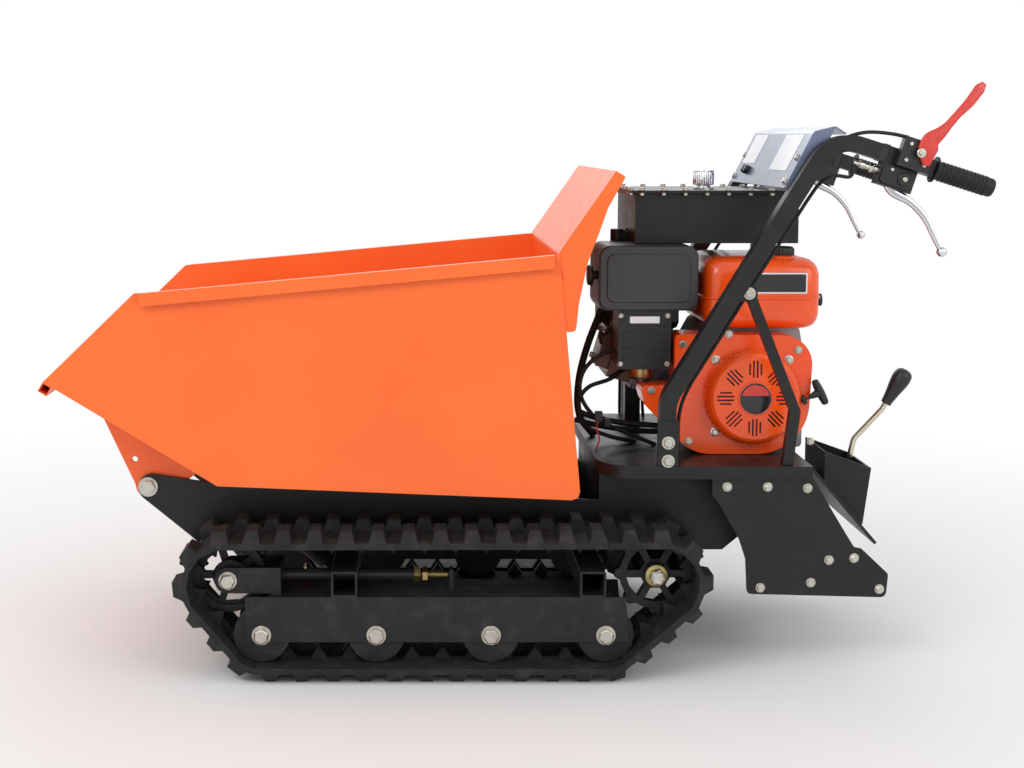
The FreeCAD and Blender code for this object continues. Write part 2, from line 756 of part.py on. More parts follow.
def tensioner(label):
    """The idler's fork on its tube, with the axle, and the bolt that pushes it forward."""
    half = z.fork_gauge / 2
    top, low = z.idler_z + z.fork_height / 2, z.idler_z - z.fork_height / 2
    nose = z.idler_x + z.fork_height / 2
    side = [(z.fork_rear_x, low), (nose, low, 24), (nose, top, 24), (z.fork_rear_x, top)]
    pieces = []
    for sign, name in ((1, "outer"), (-1, "inner")):
        middle = f"{TRACK_Y} + {sign} * (sizes.fork_gauge / 2 - sizes.fork_plate / 2)"
        pieces.append(plate(f"{label}_{name}", "XZ_Plane", side, "sizes.fork_plate", middle))
    foot = [
        (z.fork_rear_x - 10, z.frame_top_z), (z.fork_rear_x + 6, z.frame_top_z),
        (z.fork_rear_x + 6, top), (z.fork_rear_x - 10, top),
    ]
    pieces.append(plate(label + "_foot", "XZ_Plane", foot, "sizes.fork_gauge", TRACK_Y))
    forward = Vector(1, 0, 0)
    for name, sides, radius, start, end in (
        ("tube", 12, "sizes.tensioner_radius", "sizes.tensioner_rear_x", "sizes.fork_rear_x"),
        ("bolt", 6, "sizes.tension_bolt_radius", "sizes.tension_bolt_x", "sizes.tensioner_rear_x"),
    ):
        place = (start, TRACK_Y, "sizes.idler_z")
        pieces.append(flats(f"{label}_{name}", sides, radius, f"{end} - {start}", place, forward))
    pieces.append(across(
        label + "_axle", 6, "sizes.axle_radius", -half, half, "sizes.idler_x", TRACK_Y, "sizes.idler_z",
    ))
    return fused(label, pieces)


both_sides("tensioner", tensioner)


# Chassis: two side plates on two square cross tubes, the belly between them.

floor_slope = (z.floor_front_z - z.floor_rear_z) / (z.floor_front_x - z.floor_rear_x)


def floor_at(x):
    """Height of the skip floor's underside."""
    return z.floor_rear_z + (x - z.floor_rear_x) * floor_slope


cross_top = z.frame_top_z + z.cross_tube
deck_under = z.deck_z - z.deck_plate
riser_x = z.deck_front_x - z.deck_plate - 4


def chassis():
    axle_low = z.sprocket_z - 40
    side = [
        (z.pivot_x + 89.5, z.pivot_z + 41.7, 28),
        (656, 242), (622, cross_top), (z.sprocket_x + 84, cross_top),
        (z.sprocket_x + 64, axle_low, 10), (z.sprocket_x - 64, axle_low, 10),
        (z.sprocket_x - 84, cross_top), (-420, cross_top), (z.chassis_rear_x, 330),
        (z.chassis_rear_x, deck_under), (riser_x, deck_under),
        (riser_x, floor_at(riser_x) - z.chassis_gap), (617, floor_at(617) - z.chassis_gap + 4),
    ]
    windows = [
        ring_corners(z.pivot_x, z.pivot_z, z.pivot_radius + 0.6, 12),
        ring_corners(z.sprocket_x, z.sprocket_z, z.axle_tube_radius + z.pin_gap, 12),
    ]
    pieces = []
    for name, sign in SIDES:
        middle = f"{sign} * (sizes.chassis_width - sizes.chassis_plate) / 2"
        pieces.append(plate(
            "chassis_side_" + name, "XZ_Plane", side, "sizes.chassis_plate", middle, windows=windows,
        ))
    inner = "sizes.chassis_width - 2 * sizes.chassis_plate"
    right = "-sizes.chassis_width / 2 + sizes.chassis_plate"
    top = "sizes.frame_top_z + sizes.cross_tube"
    length = "sizes.cross_front_x - sizes.cross_rear_x"
    pieces.append(box("chassis_belly", (length, inner, "4"), ("sizes.cross_rear_x", right, top)))
    rise = f"sizes.deck_z - sizes.deck_plate - ({top})"
    pieces.append(box("chassis_riser", ("6", inner, rise), (str(riser_x - 6), right, top)))
    pieces.append(box("chassis_front_tube", ("40", inner, "40"), ("580", right, "222")))
    for i, x in enumerate((z.buffer_front_x, z.buffer_rear_x)):
        for name, sign in SIDES:
            y = z.chassis_width / 2 - z.chassis_plate
            low = y - 2 * z.buffer_radius - 4
            start = low if sign > 0 else -y
            shelf = ("2 * sizes.buffer_radius + 8", "2 * sizes.buffer_radius + 4", "6")
            pieces.append(box(
                f"chassis_shelf_{i}_{name}", shelf,
                (str(x - z.buffer_radius - 4), str(start), str(floor_at(x) - z.chassis_gap - 6)),
            ))
    return fused("chassis", pieces)


keep(chassis(), "chassis_frame")


def buffers():
    things = []
    for x in (z.buffer_front_x, z.buffer_rear_x):
        foot = floor_at(x) - z.chassis_gap
        height = floor_at(x - z.buffer_radius) - z.buffer_gap - foot
        y = z.chassis_width / 2 - z.chassis_plate - z.buffer_radius - 2
        for sign in (1, -1):
            things.append(flats(
                f"buffer_{len(things)}", 12, "sizes.buffer_radius", str(height),
                (str(x), str(sign * y), str(foot)), Vector(0, 0, 1),
            ))
    return grouped("buffers", things)


keep(buffers(), "skip_buffers")

cylinder_lift = math.atan2(z.cylinder_eye_z - z.cylinder_base_z, z.cylinder_eye_x - z.cylinder_base_x)
cylinder_reach = math.hypot(z.cylinder_eye_z - z.cylinder_base_z, z.cylinder_eye_x - z.cylinder_base_x)


def cross_tubes():
    """Both square tubes, with the bores of the tensioners and the tip cylinder's lower bracket."""
    things = []
    across = z.track_gauge + z.frame_width
    for name, x in (("front", z.cross_front_x), ("rear", z.cross_rear_x)):
        low, high = z.frame_top_z, cross_top
        half = z.cross_tube / 2
        wall = z.cross_tube_wall
        outer = [(x - half, low, 4), (x + half, low, 4), (x + half, high, 4), (x - half, high, 4)]
        hollow = [
            (x - half + wall, low + wall), (x + half - wall, low + wall),
            (x + half - wall, high - wall), (x - half + wall, high - wall),
        ]
        tube = plate(f"cross_tube_{name}", "XZ_Plane", outer, "sizes.track_gauge + sizes.frame_width")
        things.append(pocket(tube, "XZ_Plane", hollow, str(across + 2), f"cross_hollow_{name}"))
    front = things[0]
    plate_y = z.eye_width / 2 + z.lug_plate_gap + z.lug_plate / 2
    low = z.frame_top_z
    foot = z.cylinder_base_z - z.eye_radius
    bracket = [
        (z.cross_front_x - z.cross_tube / 2, low), (z.cylinder_base_x - 18, foot, 18),
        (z.cylinder_base_x + 24, foot, 18), (z.cross_front_x + z.cross_tube / 2, low),
    ]
    pieces = [front]
    for sign in (1, -1):
        middle = str(sign * plate_y)
        pieces.append(plate(f"cylinder_bracket_{sign + 1}", "XZ_Plane", bracket, "sizes.lug_plate", middle))
    pin_half = z.eye_width / 2 + z.lug_plate_gap
    pieces.append(rod(
        "cylinder_base_pin", "sizes.eye_pin_radius", str(2 * pin_half),
        ("sizes.cylinder_base_x", str(-pin_half), "sizes.cylinder_base_z"), Vector(0, 1, 0),
    ))
    whole = fused("cross_front_whole", pieces)
    bores = []
    for sign in (1, -1):
        bore_radius = "sizes.tensioner_radius + sizes.pin_gap"
        bores.append(flats(
            f"tensioner_bore_{sign + 1}", 12, bore_radius, "2 * sizes.cross_tube",
            ("sizes.cross_front_x - sizes.cross_tube", f"{sign} * sizes.track_gauge / 2", "sizes.idler_z"),
            Vector(1, 0, 0),
        ))
    bored = cut("cross_front_bored", whole, grouped("bore_pair", bores))
    return grouped("cross_tube_pair", [bored, things[1]])


keep(cross_tubes(), "cross_tubes")


def axle_bar(label, radius, half):
    """A twelve-sided bar across the machine on the drive axle, a flat one uppermost."""
    place = ("sizes.sprocket_x", str(-half), "sizes.sprocket_z")
    turned_bar = flats(label, 12, radius, str(2 * half), place, Vector(0, 1, 0))
    turned_bar.Placement.Rotation = Rotation(Vector(0, 1, 0), 15).multiply(turned_bar.Placement.Rotation)
    return turned_bar


def transmission():
    """Closed gearbox on the drive axle, with the axle's tubes, shafts and end nuts."""
    block = [
        (z.sprocket_x - 75, z.sprocket_z - 62, 15), (z.sprocket_x + 70, z.sprocket_z - 62, 15),
        (z.sprocket_x + 70, 330, 15), (z.sprocket_x - 110, 330, 15),
    ]
    pieces = [plate("gearbox", "XZ_Plane", block, "180")]
    inner = z.track_gauge / 2 - 22
    end = z.track_gauge / 2 + 22
    for name, radius, half in (
        ("tube", "sizes.axle_tube_radius", inner),
        ("shaft", "sizes.axle_shaft_radius", end + 6),
    ):
        pieces.append(axle_bar("drive_axle_" + name, radius, half))
    return fused("transmission_whole", pieces)


keep(transmission(), "transmission")


# Engine deck with its apron, the side panels, the lever box and the lever.

def engine_deck():
    front, rear, half = z.deck_front_x, z.deck_rear_x, z.deck_width / 2
    wall = z.deck_plate
    top = [(rear, -half), (front, -half, z.deck_corner), (front, half, z.deck_corner), (rear, half)]
    body = plate("deck_tray", "XY_Plane", top, "sizes.deck_flange", "sizes.deck_z - sizes.deck_flange / 2")
    inside = [
        (rear - 10, wall - half), (front - wall, wall - half, z.deck_corner - wall),
        (front - wall, half - wall, z.deck_corner - wall), (rear - 10, half - wall),
    ]
    sketch = sketch_on(body, "XY_Plane", "deck_inside")
    sketch.addGeometry(outline(inside))
    sketch.AttachmentOffset = Placement(Vector(0, 0, -z.deck_flange / 2), Rotation())
    hollow = body.newObject("PartDesign::Pocket", "deck_hollow")
    hollow.Profile = sketch
    hollow.Reversed = True
    bind(hollow, {"Length": "sizes.deck_flange - sizes.deck_plate"})
    body.Tip = hollow
    run = math.hypot(z.apron_end_x - rear, z.deck_z - z.apron_end_z)
    down = ((z.apron_end_x - rear) / run, (z.apron_end_z - z.deck_z) / run)
    inward = (-down[1] * wall, down[0] * wall)
    sheet_drop = wall / -down[0]
    apron = [
        (rear, z.deck_z), (z.apron_end_x, z.apron_end_z),
        (z.apron_end_x + inward[0], z.apron_end_z + inward[1]), (rear, z.deck_z - sheet_drop),
    ]
    width = "sizes.deck_width - 2 * sizes.deck_plate - 2 * sizes.panel_plate"
    return fused("deck_whole", [body, plate("deck_apron", "XZ_Plane", apron, width)])


keep(engine_deck(), "engine_deck")
apron_slope = (z.deck_z - z.apron_end_z) / (z.deck_rear_x - z.apron_end_x)


def apron_at(x):
    """Height of the apron's upper face."""
    return z.deck_z - (z.deck_rear_x - x) * apron_slope


def rear_panel(label):
    side = [
        (-380, deck_under), (-380, 345, 6), (-394, 328), (-434, 257, 30), (-447, 218), (-451, 148, 8),
        (-724, 141, 10), (-728, 188, 8), (-674, 239, 8), (-660, 241, 8), (-639, 275, 6),
        (-576, 379, 6), (-571, deck_under),
    ]
    middle = "sizes.deck_width / 2 - sizes.deck_plate - sizes.panel_plate / 2"
    return plate(label, "XZ_Plane", side, "sizes.panel_plate", middle)


both_sides("rear_panel", rear_panel)


def lever_box():
    wall = 3
    shell = [
        (-631, apron_at(-631)), (-631, 407), (-726, 373), (-711, 257), (-703, apron_at(-703)),
    ]
    body = plate("lever_box_shell", "XZ_Plane", shell, "151", "84.5")
    inside = [
        (-634, apron_at(-634) + 6), (-634, 440), (-723, 420), (-708, 260),
    ]
    pocket(body, "XZ_Plane", inside, str(151 - 2 * wall), "lever_box_inside")
    seat = [(-706, apron_at(-706) + 3), (-680, apron_at(-680) + 3), (-680, 289), (-706, 289)]
    return fused("lever_box_whole", [body, plate("lever_seat", "XZ_Plane", seat, "24", "80")])


keep(lever_box(), "lever_box")


def lofted(label, sections, sides):
    """A solid with flat sides along Y, for small pieces: sections are rising (radius, y)."""
    rings = []
    for radius, y in sections:
        rings.append([Vector(x, y, up) for x, up in ring_corners(0, 0, radius, sides)])
    faces = [Part.Face(Part.makePolygon(ring + ring[:1])) for ring in (rings[0], rings[-1])]
    for near, far in zip(rings, rings[1:]):
        for i in range(sides):
            corners = [near[i - 1], near[i], far[i], far[i - 1], near[i - 1]]
            faces.append(Part.Face(Part.makePolygon(corners)))
    return shaped(label, Part.makeSolid(Part.makeShell(faces)))


def bent_bar(path, radius, sides):
    """A bar with flats along a wire, its radius over the corners."""
    first = path.Edges[0]
    start = first.valueAt(first.FirstParameter)
    along = first.tangentAt(first.FirstParameter)
    spin = Rotation(Vector(0, 0, 1), along)
    corners = []
    for i in range(sides):
        angle = 2 * math.pi * i / sides
        corners.append(start + spin.multVec(Vector(math.cos(angle), math.sin(angle), 0)) * radius)
    return path.makePipeShell([Part.makePolygon(corners + corners[:1])], True, False, 1)


knob_base = Vector(-777, 80, 491)
knob_along = Vector(-42, 0, 71).normalize()


def gear_lever():
    bend = knob_base - knob_along * 14
    route = [(-693, 80, 290), (-704, 80, 376), (-713, 80, 417), tuple(bend), tuple(knob_base)]
    return shaped("gear_rod", bent_bar(arc_path(route, [60, 30, 20]), 6, 6))


keep(gear_lever(), "gear_lever")


def gear_knob():
    knob = lofted("knob", [(10, 0), (13, 20), (18, 48), (19, 66), (16, 76), (10, 82)], 12)
    knob.Placement = Placement(knob_base, Rotation(Vector(0, 1, 0), knob_along))
    return knob


keep(gear_knob(), "gear_knob")


# Handlebars, their braces, grips, levers and the console between them.

handle_y = z.handle_gauge / 2
bar_along = Vector(z.handle_top_x - z.handle_end_x, 0, z.handle_top_z - z.handle_end_z).normalize()
bar_up = bar_along.cross(Vector(0, 1, 0))
bar_lean = Rotation(Vector(1, 0, 0), bar_along)
bar_end = Vector(z.handle_end_x, handle_y, z.handle_end_z)


def handlebar(label):
    route = [
        (z.handle_base_x, handle_y, z.deck_z), (z.handle_base_x, handle_y, z.handle_knee_z),
        (z.handle_top_x, handle_y, z.handle_top_z), (z.handle_end_x, handle_y, z.handle_end_z),
    ]
    tube = square_tube(arc_path(route, [z.handle_bend, z.handle_bend]), z.handle_tube, z.handle_wall)
    core_end = bar_end - bar_along * (z.grip_length - 4)
    core = bent_bar(Part.Wire([Part.makeLine(bar_end + bar_along * 20, core_end)]), z.grip_core, 6)
    half = z.handle_tube / 2
    plug = Part.makeBox(6, 2 * half - 2, 2 * half - 2, Vector(0, 1 - half, 1 - half))
    plug.Placement = Placement(bar_end, bar_lean).multiply(plug.Placement)
    return shaped(label, tube.fuse([core, plug]).removeSplitter())


both_sides("handlebar", handlebar)


def grip(name, sign):
    collar = lofted("grip_collar_" + name, [(26, 0), (26, 4)], 16)
    sections = [(z.grip_radius, 2), (z.grip_radius, z.grip_length - 4), (z.grip_radius - 4, z.grip_length)]
    sleeve = fused("grip_sleeve_" + name, [collar, lofted("grip_tube_" + name, sections, 16)])
    bore = flats(
        "grip_bore_" + name, 12, "sizes.grip_core * 1.05", "sizes.grip_length - 3.5",
        ("0", "0", "0"), Vector(0, 1, 0),
    )
    thing = cut("grip_" + name, sleeve, bore)
    start = bar_end - bar_along * 0.5
    start.y *= sign
    thing.Placement = Placement(start, Rotation(Vector(0, 1, 0), bar_along * -1))
    return thing


keep(grouped("grip_pair", [grip(name, sign) for name, sign in SIDES]), "grips")


def brace(label):
    """A square strut from the handlebar's rear face down to the deck."""
    lean = (z.handle_top_z - z.handle_knee_z) / (z.handle_base_x - z.handle_top_x)
    bar_x = z.handle_base_x - (z.brace_top_z - z.handle_knee_z) / lean
    run = math.hypot(1, lean)
    face = z.handle_tube / 2 * run / lean
    top = bar_x - face
    half = z.brace_tube / 2
    points = [(z.brace_foot_x, z.deck_z), (z.brace_knee_x, z.brace_knee_z), (top - half, z.brace_top_z)]
    ahead = [(x + half, up) for x, up in points]
    behind = [(x - half, up) for x, up in reversed(points)]
    return plate(label, "XZ_Plane", ahead + behind, "sizes.brace_tube", "sizes.handle_gauge / 2")


both_sides("handlebar_brace", brace)


def along_bar(thing, reach, rise, y):
    """Places a piece from the handlebar's end: reach along the bar, rise above its middle line."""
    spot = bar_end + bar_along * reach + bar_up * rise
    spot.y = y
    thing.Placement = Placement(spot, bar_lean)
    return thing


def lever_brackets():
    """The lever perches: a block under each bar, and the clutch lever's block outside the left one."""
    things = []
    half = z.handle_tube / 2
    for name, sign in SIDES:
        perch = doc.addObject("Part::Box", "perch_" + name)
        perch.Length, perch.Width, perch.Height = 70, z.handle_tube, 44
        things.append(along_bar(perch, 30, -half - 44, sign * handle_y - half))
    block = doc.addObject("Part::Box", "clutch_block")
    block.Length, block.Width, block.Height = 62, 20, 58
    things.append(along_bar(block, 18, -half, handle_y + half))
    return grouped("lever_bracket_set", [fused("brackets_left", [things[0], things[2]]), things[1]])


keep(lever_brackets(), "lever_brackets")


def clutch_lever():
    blade = [
        (-768, 1030, 8), (-806, 1082, 60), (-872, 1150, 4), (-886, 1147, 4), (-830, 1042, 80),
        (-808, 985, 8), (-790, 977, 10), (-762, 990, 10),
    ]
    middle = "sizes.handle_gauge / 2 + sizes.handle_tube / 2 + 20 + 5"
    return plate("clutch_blade", "XZ_Plane", blade, "10", middle)


keep(clutch_lever(), "clutch_lever")


def lever_ball(name, y):
    """A ball with flats: what three eight-sided bars, one along each axis, have in common."""
    radius = z.lever_ball_radius / math.cos(math.pi / 8)
    bars = []
    for along in (Vector(1, 0, 0), Vector(0, 1, 0), Vector(0, 0, 1)):
        start = [str(-z.lever_ball_radius * share) for share in along]
        bar = flats(
            f"ball_{name}_{len(bars)}", 8, str(radius), "2 * sizes.lever_ball_radius", start, along,
        )
        bar.Placement.Rotation = Rotation(along, 22.5).multiply(bar.Placement.Rotation)
        bars.append(bar)
    doc.recompute()
    common = bars[0].Shape.common([bars[1].Shape, bars[2].Shape])
    common.translate(Vector(-820, y, 821))
    return shaped("lever_ball_" + name, common)


def steering_levers():
    under = z.handle_tube / 2 + 44
    start = bar_end + bar_along * 62 - bar_up * under
    line = [(start.x - 4, start.z), (-733, 930), (-766, 915), (-798, 882), (-819, 826)]
    ahead, behind = offset_line(line, z.blade_width / 2), offset_line(line, -z.blade_width / 2)
    ends = [start + bar_along * reach for reach in (-z.blade_width / 2, z.blade_width / 2)]
    blade = [(ends[1].x, ends[1].z)] + ahead[1:] + behind[:0:-1] + [(ends[0].x, ends[0].z)]
    things = []
    for name, sign in SIDES:
        middle = f"{sign} * sizes.handle_gauge / 2"
        lever = plate("steering_blade_" + name, "XZ_Plane", blade, "sizes.blade_plate", middle)
        things.append(fused("steering_lever_" + name, [lever, lever_ball(name, sign * handle_y)]))
    return grouped("steering_lever_pair", things)


keep(steering_levers(), "steering_levers")


def console():
    line = [
        (z.console_front_x, z.console_front_z), (z.console_top_x, z.console_top_z),
        (z.console_top_x - 42, z.console_top_z + 10), (z.console_top_x - 63, z.console_top_z - 4),
    ]
    width = "sizes.handle_gauge - sizes.handle_tube"
    folded_sheet = plate("console_sheet_body", "XZ_Plane", folded(line, z.console_sheet, 6), width)
    back = z.console_sheet
    cheek = [
        (line[0][0] - 1, line[0][1] + 2), (line[1][0] - 1, line[1][1] - 1),
        (line[2][0] + 1, line[2][1] - back / 2), (-570, 962),
    ]
    pieces = [folded_sheet]
    for sign in (1, -1):
        middle = f"{sign} * ((sizes.handle_gauge - sizes.handle_tube) / 2 - 1.5)"
        pieces.append(plate(f"console_cheek_{sign + 1}", "XZ_Plane", cheek, "3", middle))
    return fused("console_whole", pieces)


keep(console(), "console")


# Hydraulic tank over the engine, on its two posts.

def hydraulic_tank():
    rim = "sizes.tank_lid_rim"
    body = box(
        "tank_body", ("sizes.tank_length", "sizes.tank_width", "sizes.tank_height"),
        ("sizes.tank_rear_x", "sizes.tank_right_y", "sizes.tank_bottom_z"),
    )
    top = "sizes.tank_bottom_z + sizes.tank_height"
    lid = box(
        "tank_lid_plate",
        (f"sizes.tank_length + 2 * {rim}", f"sizes.tank_width + 2 * {rim}", "sizes.tank_lid"),
        (f"sizes.tank_rear_x - {rim}", f"sizes.tank_right_y - {rim}", top),
    )
    return fused("tank_whole", [body, lid])


keep(hydraulic_tank(), "hydraulic_tank")
lid_top = z.tank_bottom_z + z.tank_height + z.tank_lid


def tank_cap():
    neck = lofted("breather_neck", [(14, 0), (14, 9)], 12)
    top = lofted("breather_top", [(22, 8), (22, 31), (19, 36), (12, 39)], 16)
    cap = fused("breather", [neck, top])
    cap.Placement = Placement(Vector(-407, 0, lid_top), Rotation(Vector(0, 1, 0), Vector(0, 0, 1)))
    return cap


keep(tank_cap(), "tank_cap")


def tank_posts():
    things = []
    for i, (x, y) in enumerate(((-275, -95), (-560, -140))):
        things.append(box(
            f"tank_post_{i}", ("sizes.post_size", "sizes.post_size", "sizes.tank_bottom_z - sizes.deck_z"),
            (f"{x} - sizes.post_size / 2", f"{y} - sizes.post_size / 2", "sizes.deck_z"),
        ))
    return grouped("tank_post_pair", things)


keep(tank_posts(), "tank_posts")


# Engine: block with its leaning cylinder, head, fan housing, starter, tank, filter, silencer.

tilt = math.radians(z.cylinder_tilt)
cylinder_along = Vector(math.cos(tilt), 0, math.sin(tilt))
crank = Vector(z.crank_x, 0, z.crank_z)


def leaning(label, start, length, width, height):
    """A block centred on the cylinder's axis, from start along it."""
    thing = doc.addObject("Part::Box", label)
    thing.Length, thing.Width, thing.Height = length, width, height
    corner = Placement(crank, Rotation(Vector(1, 0, 0), cylinder_along))
    thing.Placement = corner.multiply(Placement(Vector(start, -width / 2, -height / 2), Rotation()))
    return thing


def engine_block():
    case = [
        (-370, z.deck_z, 8), (-370, 600, 40), (-400, 655, 10), (-590, 655, 10), (-600, 600, 30),
        (-600, z.deck_z, 8),
    ]
    pieces = [plate("crankcase", "XZ_Plane", case, "205", "-7.5")]
    pieces.append(leaning("engine_cylinder", 60, 165, 124, 120))
    place = ("sizes.crank_x", "-165", "sizes.crank_z")
    pieces.append(flats("output_boss", 12, "45", "56", place, Vector(0, 1, 0)))
    return fused("engine_block_whole", pieces)


keep(engine_block(), "engine_block")


def cylinder_head():
    head = leaning("head_block", 225, 50, 116, 112)
    cover = leaning("valve_cover", 274, 26, 96, 84)
    return fused("head_whole", [head, cover])


keep(cylinder_head(), "cylinder_head")


def fan_housing():
    shell = [
        (-322, 648, 12), (-322, 544, 4), (-252, 544, 10), (-262, 505, 30), (-360, z.deck_z + 1, 90),
        (-590, z.deck_z + 1, 105), (-602, 645, 60),
    ]
    return plate("fan_shell", "XZ_Plane", shell, "75", "132.5")


keep(fan_housing(), "fan_housing")


def recoil_cover():
    """The starter's cover: a dish with groups of parallel slots round its middle."""
    radius = z.recoil_radius
    depth = z.recoil_face_y - 170
    sections = [(radius, 0), (radius, 14), (radius - 8, depth - 4), (radius - 14, depth)]
    dish = lofted("recoil_dish", sections, 40)
    boss = lofted("recoil_boss", [(34, depth - 1), (34, depth + 3)], 24)
    slots = []
    for turn in range(8):
        for step, inner, outer in ((-1.5, 47, 70), (-0.5, 42, 76), (0.5, 42, 76), (1.5, 47, 70)):
            low = Vector(step * z.slot_pitch - z.slot_width / 2, depth - z.slot_depth, inner)
            slot = Part.makeBox(z.slot_width, z.slot_depth + 1, outer - inner, low)
            slot.rotate(Vector(0, 0, 0), Vector(0, 1, 0), 45 * turn)
            slots.append(slot)
    slotted = cut(
        "recoil_whole", fused("recoil_body", [dish, boss]),
        shaped("recoil_slots", Part.makeCompound(slots)),
    )
    return placed(slotted, "sizes.crank_x", "170", "sizes.crank_z")


keep(recoil_cover(), "recoil_cover")


def starter_grip():
    handle = [(-582, 508, 10), (-636, 508, 10), (-636, 560, 12), (-582, 560, 12)]
    return plate("pull_handle", "XZ_Plane", handle, "28", "184")


keep(starter_grip(), "starter_grip")


def fuel_tank():
    front, rear, low, top = z.fuel_front_x, z.fuel_rear_x, z.fuel_bottom_z, z.fuel_top_z
    side = [(rear, low, 25), (front, low, 25), (front, top, 38), (rear, top, 38)]
    width = "sizes.fuel_left_y - sizes.fuel_right_y"
    middle = "(sizes.fuel_left_y + sizes.fuel_right_y) / 2"
    shell = plate("tank_shell", "XZ_Plane", side, width, middle)
    length = "sizes.fuel_front_x - sizes.fuel_rear_x"
    seam = box(
        "tank_seam",
        (length + " + 2 * sizes.seam_rim", width + " + 2 * sizes.seam_rim", "4"),
        ("sizes.fuel_rear_x - sizes.seam_rim", "sizes.fuel_right_y - sizes.seam_rim", "sizes.seam_z"),
    )
    return fused("fuel_tank_whole", [shell, seam])


keep(fuel_tank(), "fuel_tank")


def fuel_cap():
    cap = lofted("filler_cap", [(24, 0), (24, 16), (20, 20)], 16)
    cap.Placement = Placement(Vector(-553, 95, z.fuel_top_z), Rotation(Vector(0, 1, 0), Vector(0, 0, 1)))
    return cap


keep(fuel_cap(), "fuel_cap")


def air_filter():
    side = [(-368, 695, 14), (-168, 695, 14), (-168, 826, 24), (-368, 826, 24)]
    return plate("filter_box", "XZ_Plane", side, "145", "92.5")


keep(air_filter(), "air_filter")


def carburettor():
    side = [(-316, 575, 8), (-209, 575, 8), (-209, 695), (-316, 695)]
    pieces = [plate("carb_box", "XZ_Plane", side, "85", "117.5")]
    pieces.append(box("intake_flange", ("34", "22", "36"), ("-258", "58", "592")))
    pieces.append(flats("carb_bowl", 12, "21", "26", ("-262", "118", "550"), Vector(0, 0, 1)))
    return fused("carb_whole", pieces)


keep(carburettor(), "carburettor")


def muffler():
    side = [(-380, 622, 15), (-205, 622, 15), (-205, 762, 15), (-380, 762, 15)]
    pieces = [plate("silencer_box", "XZ_Plane", side, "76", "-153")]
    pieces.append(flats("exhaust_stub", 12, "16", "58", ("-240", "-116", "640"), Vector(0, 1, 0)))
    return fused("muffler_whole", pieces)


keep(muffler(), "muffler")


def belt_guard():
    side = [
        (-560, z.deck_z), (-396, z.deck_z), (-388, 560, 78), (-478, 640, 60), (-566, 560, 78),
    ]
    return plate("guard_shell", "XZ_Plane", side, "35", "-182.5")


keep(belt_guard(), "belt_guard")


# Skip: floor with its front slope, side panels with folded rims, rear wall with its guard,
# the lip tube, and the ears it tips on.

skip_half = z.skip_width / 2
slope_x, slope_z = z.tip_x - z.floor_front_x, z.tip_z - z.floor_front_z
slope_run = math.hypot(slope_x, slope_z)
slope_along = (slope_x / slope_run, slope_z / slope_run)
slope_up = (-slope_along[1], slope_along[0])
INNER = "sizes.skip_width - 2 * sizes.skip_sheet"


def slope_at(x):
    """Height of the front slope's underside."""
    return z.floor_front_z + (x - z.floor_front_x) * slope_z / slope_x


def skip_floor():
    wall_lean = (z.rim_rear_x - z.floor_rear_x) / (z.rim_rear_z - z.floor_rear_z)
    rise = 30
    line = [
        (z.floor_rear_x + rise * wall_lean, z.floor_rear_z + rise), (z.floor_rear_x, z.floor_rear_z),
        (z.floor_front_x, z.floor_front_z), (z.tip_x, z.tip_z),
    ]
    return plate("skip_floor_sheet", "XZ_Plane", folded(line, z.skip_sheet, z.skip_bend), INNER)


keep(skip_floor(), "skip_floor")


def skip_side(label):
    """A side panel with its rim folded out and down along the top edge."""
    side = [
        (z.floor_rear_x, z.floor_rear_z, z.skip_bend + z.skip_sheet), (z.floor_front_x, z.floor_front_z),
        (z.tip_x, z.tip_z), (z.rim_front_x, z.rim_front_z), (z.rim_rear_x, z.rim_rear_z),
    ]
    middle = "sizes.skip_width / 2 - sizes.skip_sheet / 2"
    panel = plate(label + "_panel", "XZ_Plane", side, "sizes.skip_sheet", middle)
    rim_run = Vector(z.rim_front_x - z.rim_rear_x, 0, z.rim_front_z - z.rim_rear_z)
    lean = Rotation(Vector(1, 0, 0), rim_run)
    rims = []
    for name, y, width, depth in (
        ("ledge", skip_half, z.rim_width, z.skip_sheet),
        ("skirt", skip_half + z.rim_width - z.skip_sheet, z.skip_sheet, z.rim_depth),
    ):
        strip = doc.addObject("Part::Box", f"{label}_{name}")
        strip.Length, strip.Width, strip.Height = rim_run.Length - 24, width, depth
        corner = Placement(Vector(z.rim_rear_x, y, z.rim_rear_z), lean)
        strip.Placement = corner.multiply(Placement(Vector(12, 0, -depth), Rotation()))
        rims.append(strip)
    return fused(label, [panel] + rims)


both_sides("skip_side", skip_side)


def skip_rear_wall():
    """The rear wall, its guard leaning back above the rim, and the guard's side flanges."""
    wall_lean = (z.rim_rear_x - z.floor_rear_x) / (z.rim_rear_z - z.floor_rear_z)
    rise = 30
    line = [
        (z.guard_top_x, z.guard_top_z), (z.rim_rear_x, z.rim_rear_z),
        (z.floor_rear_x + rise * wall_lean, z.floor_rear_z + rise),
    ]
    pieces = [plate("skip_rear_sheet", "XZ_Plane", folded(line, z.skip_sheet, z.skip_bend), INNER)]
    flange_end = 672
    core = offset_line(line, z.skip_sheet / 2)
    flange = [
        core[0], (z.guard_top_x - 16, z.guard_top_z - 9, 4), (-165, 909), (-148, 860), (-127, 804, 120),
        (-111, 725), (-106, flange_end, 8), (core[2][0] + (flange_end - core[2][1]) * wall_lean, flange_end),
        core[1],
    ]
    for name, sign in SIDES:
        middle = f"{sign} * (sizes.skip_width / 2 - 1.5 * sizes.skip_sheet)"
        pieces.append(plate("guard_flange_" + name, "XZ_Plane", flange, "sizes.skip_sheet", middle))
    return fused("skip_rear_whole", pieces)


keep(skip_rear_wall(), "skip_rear_wall")


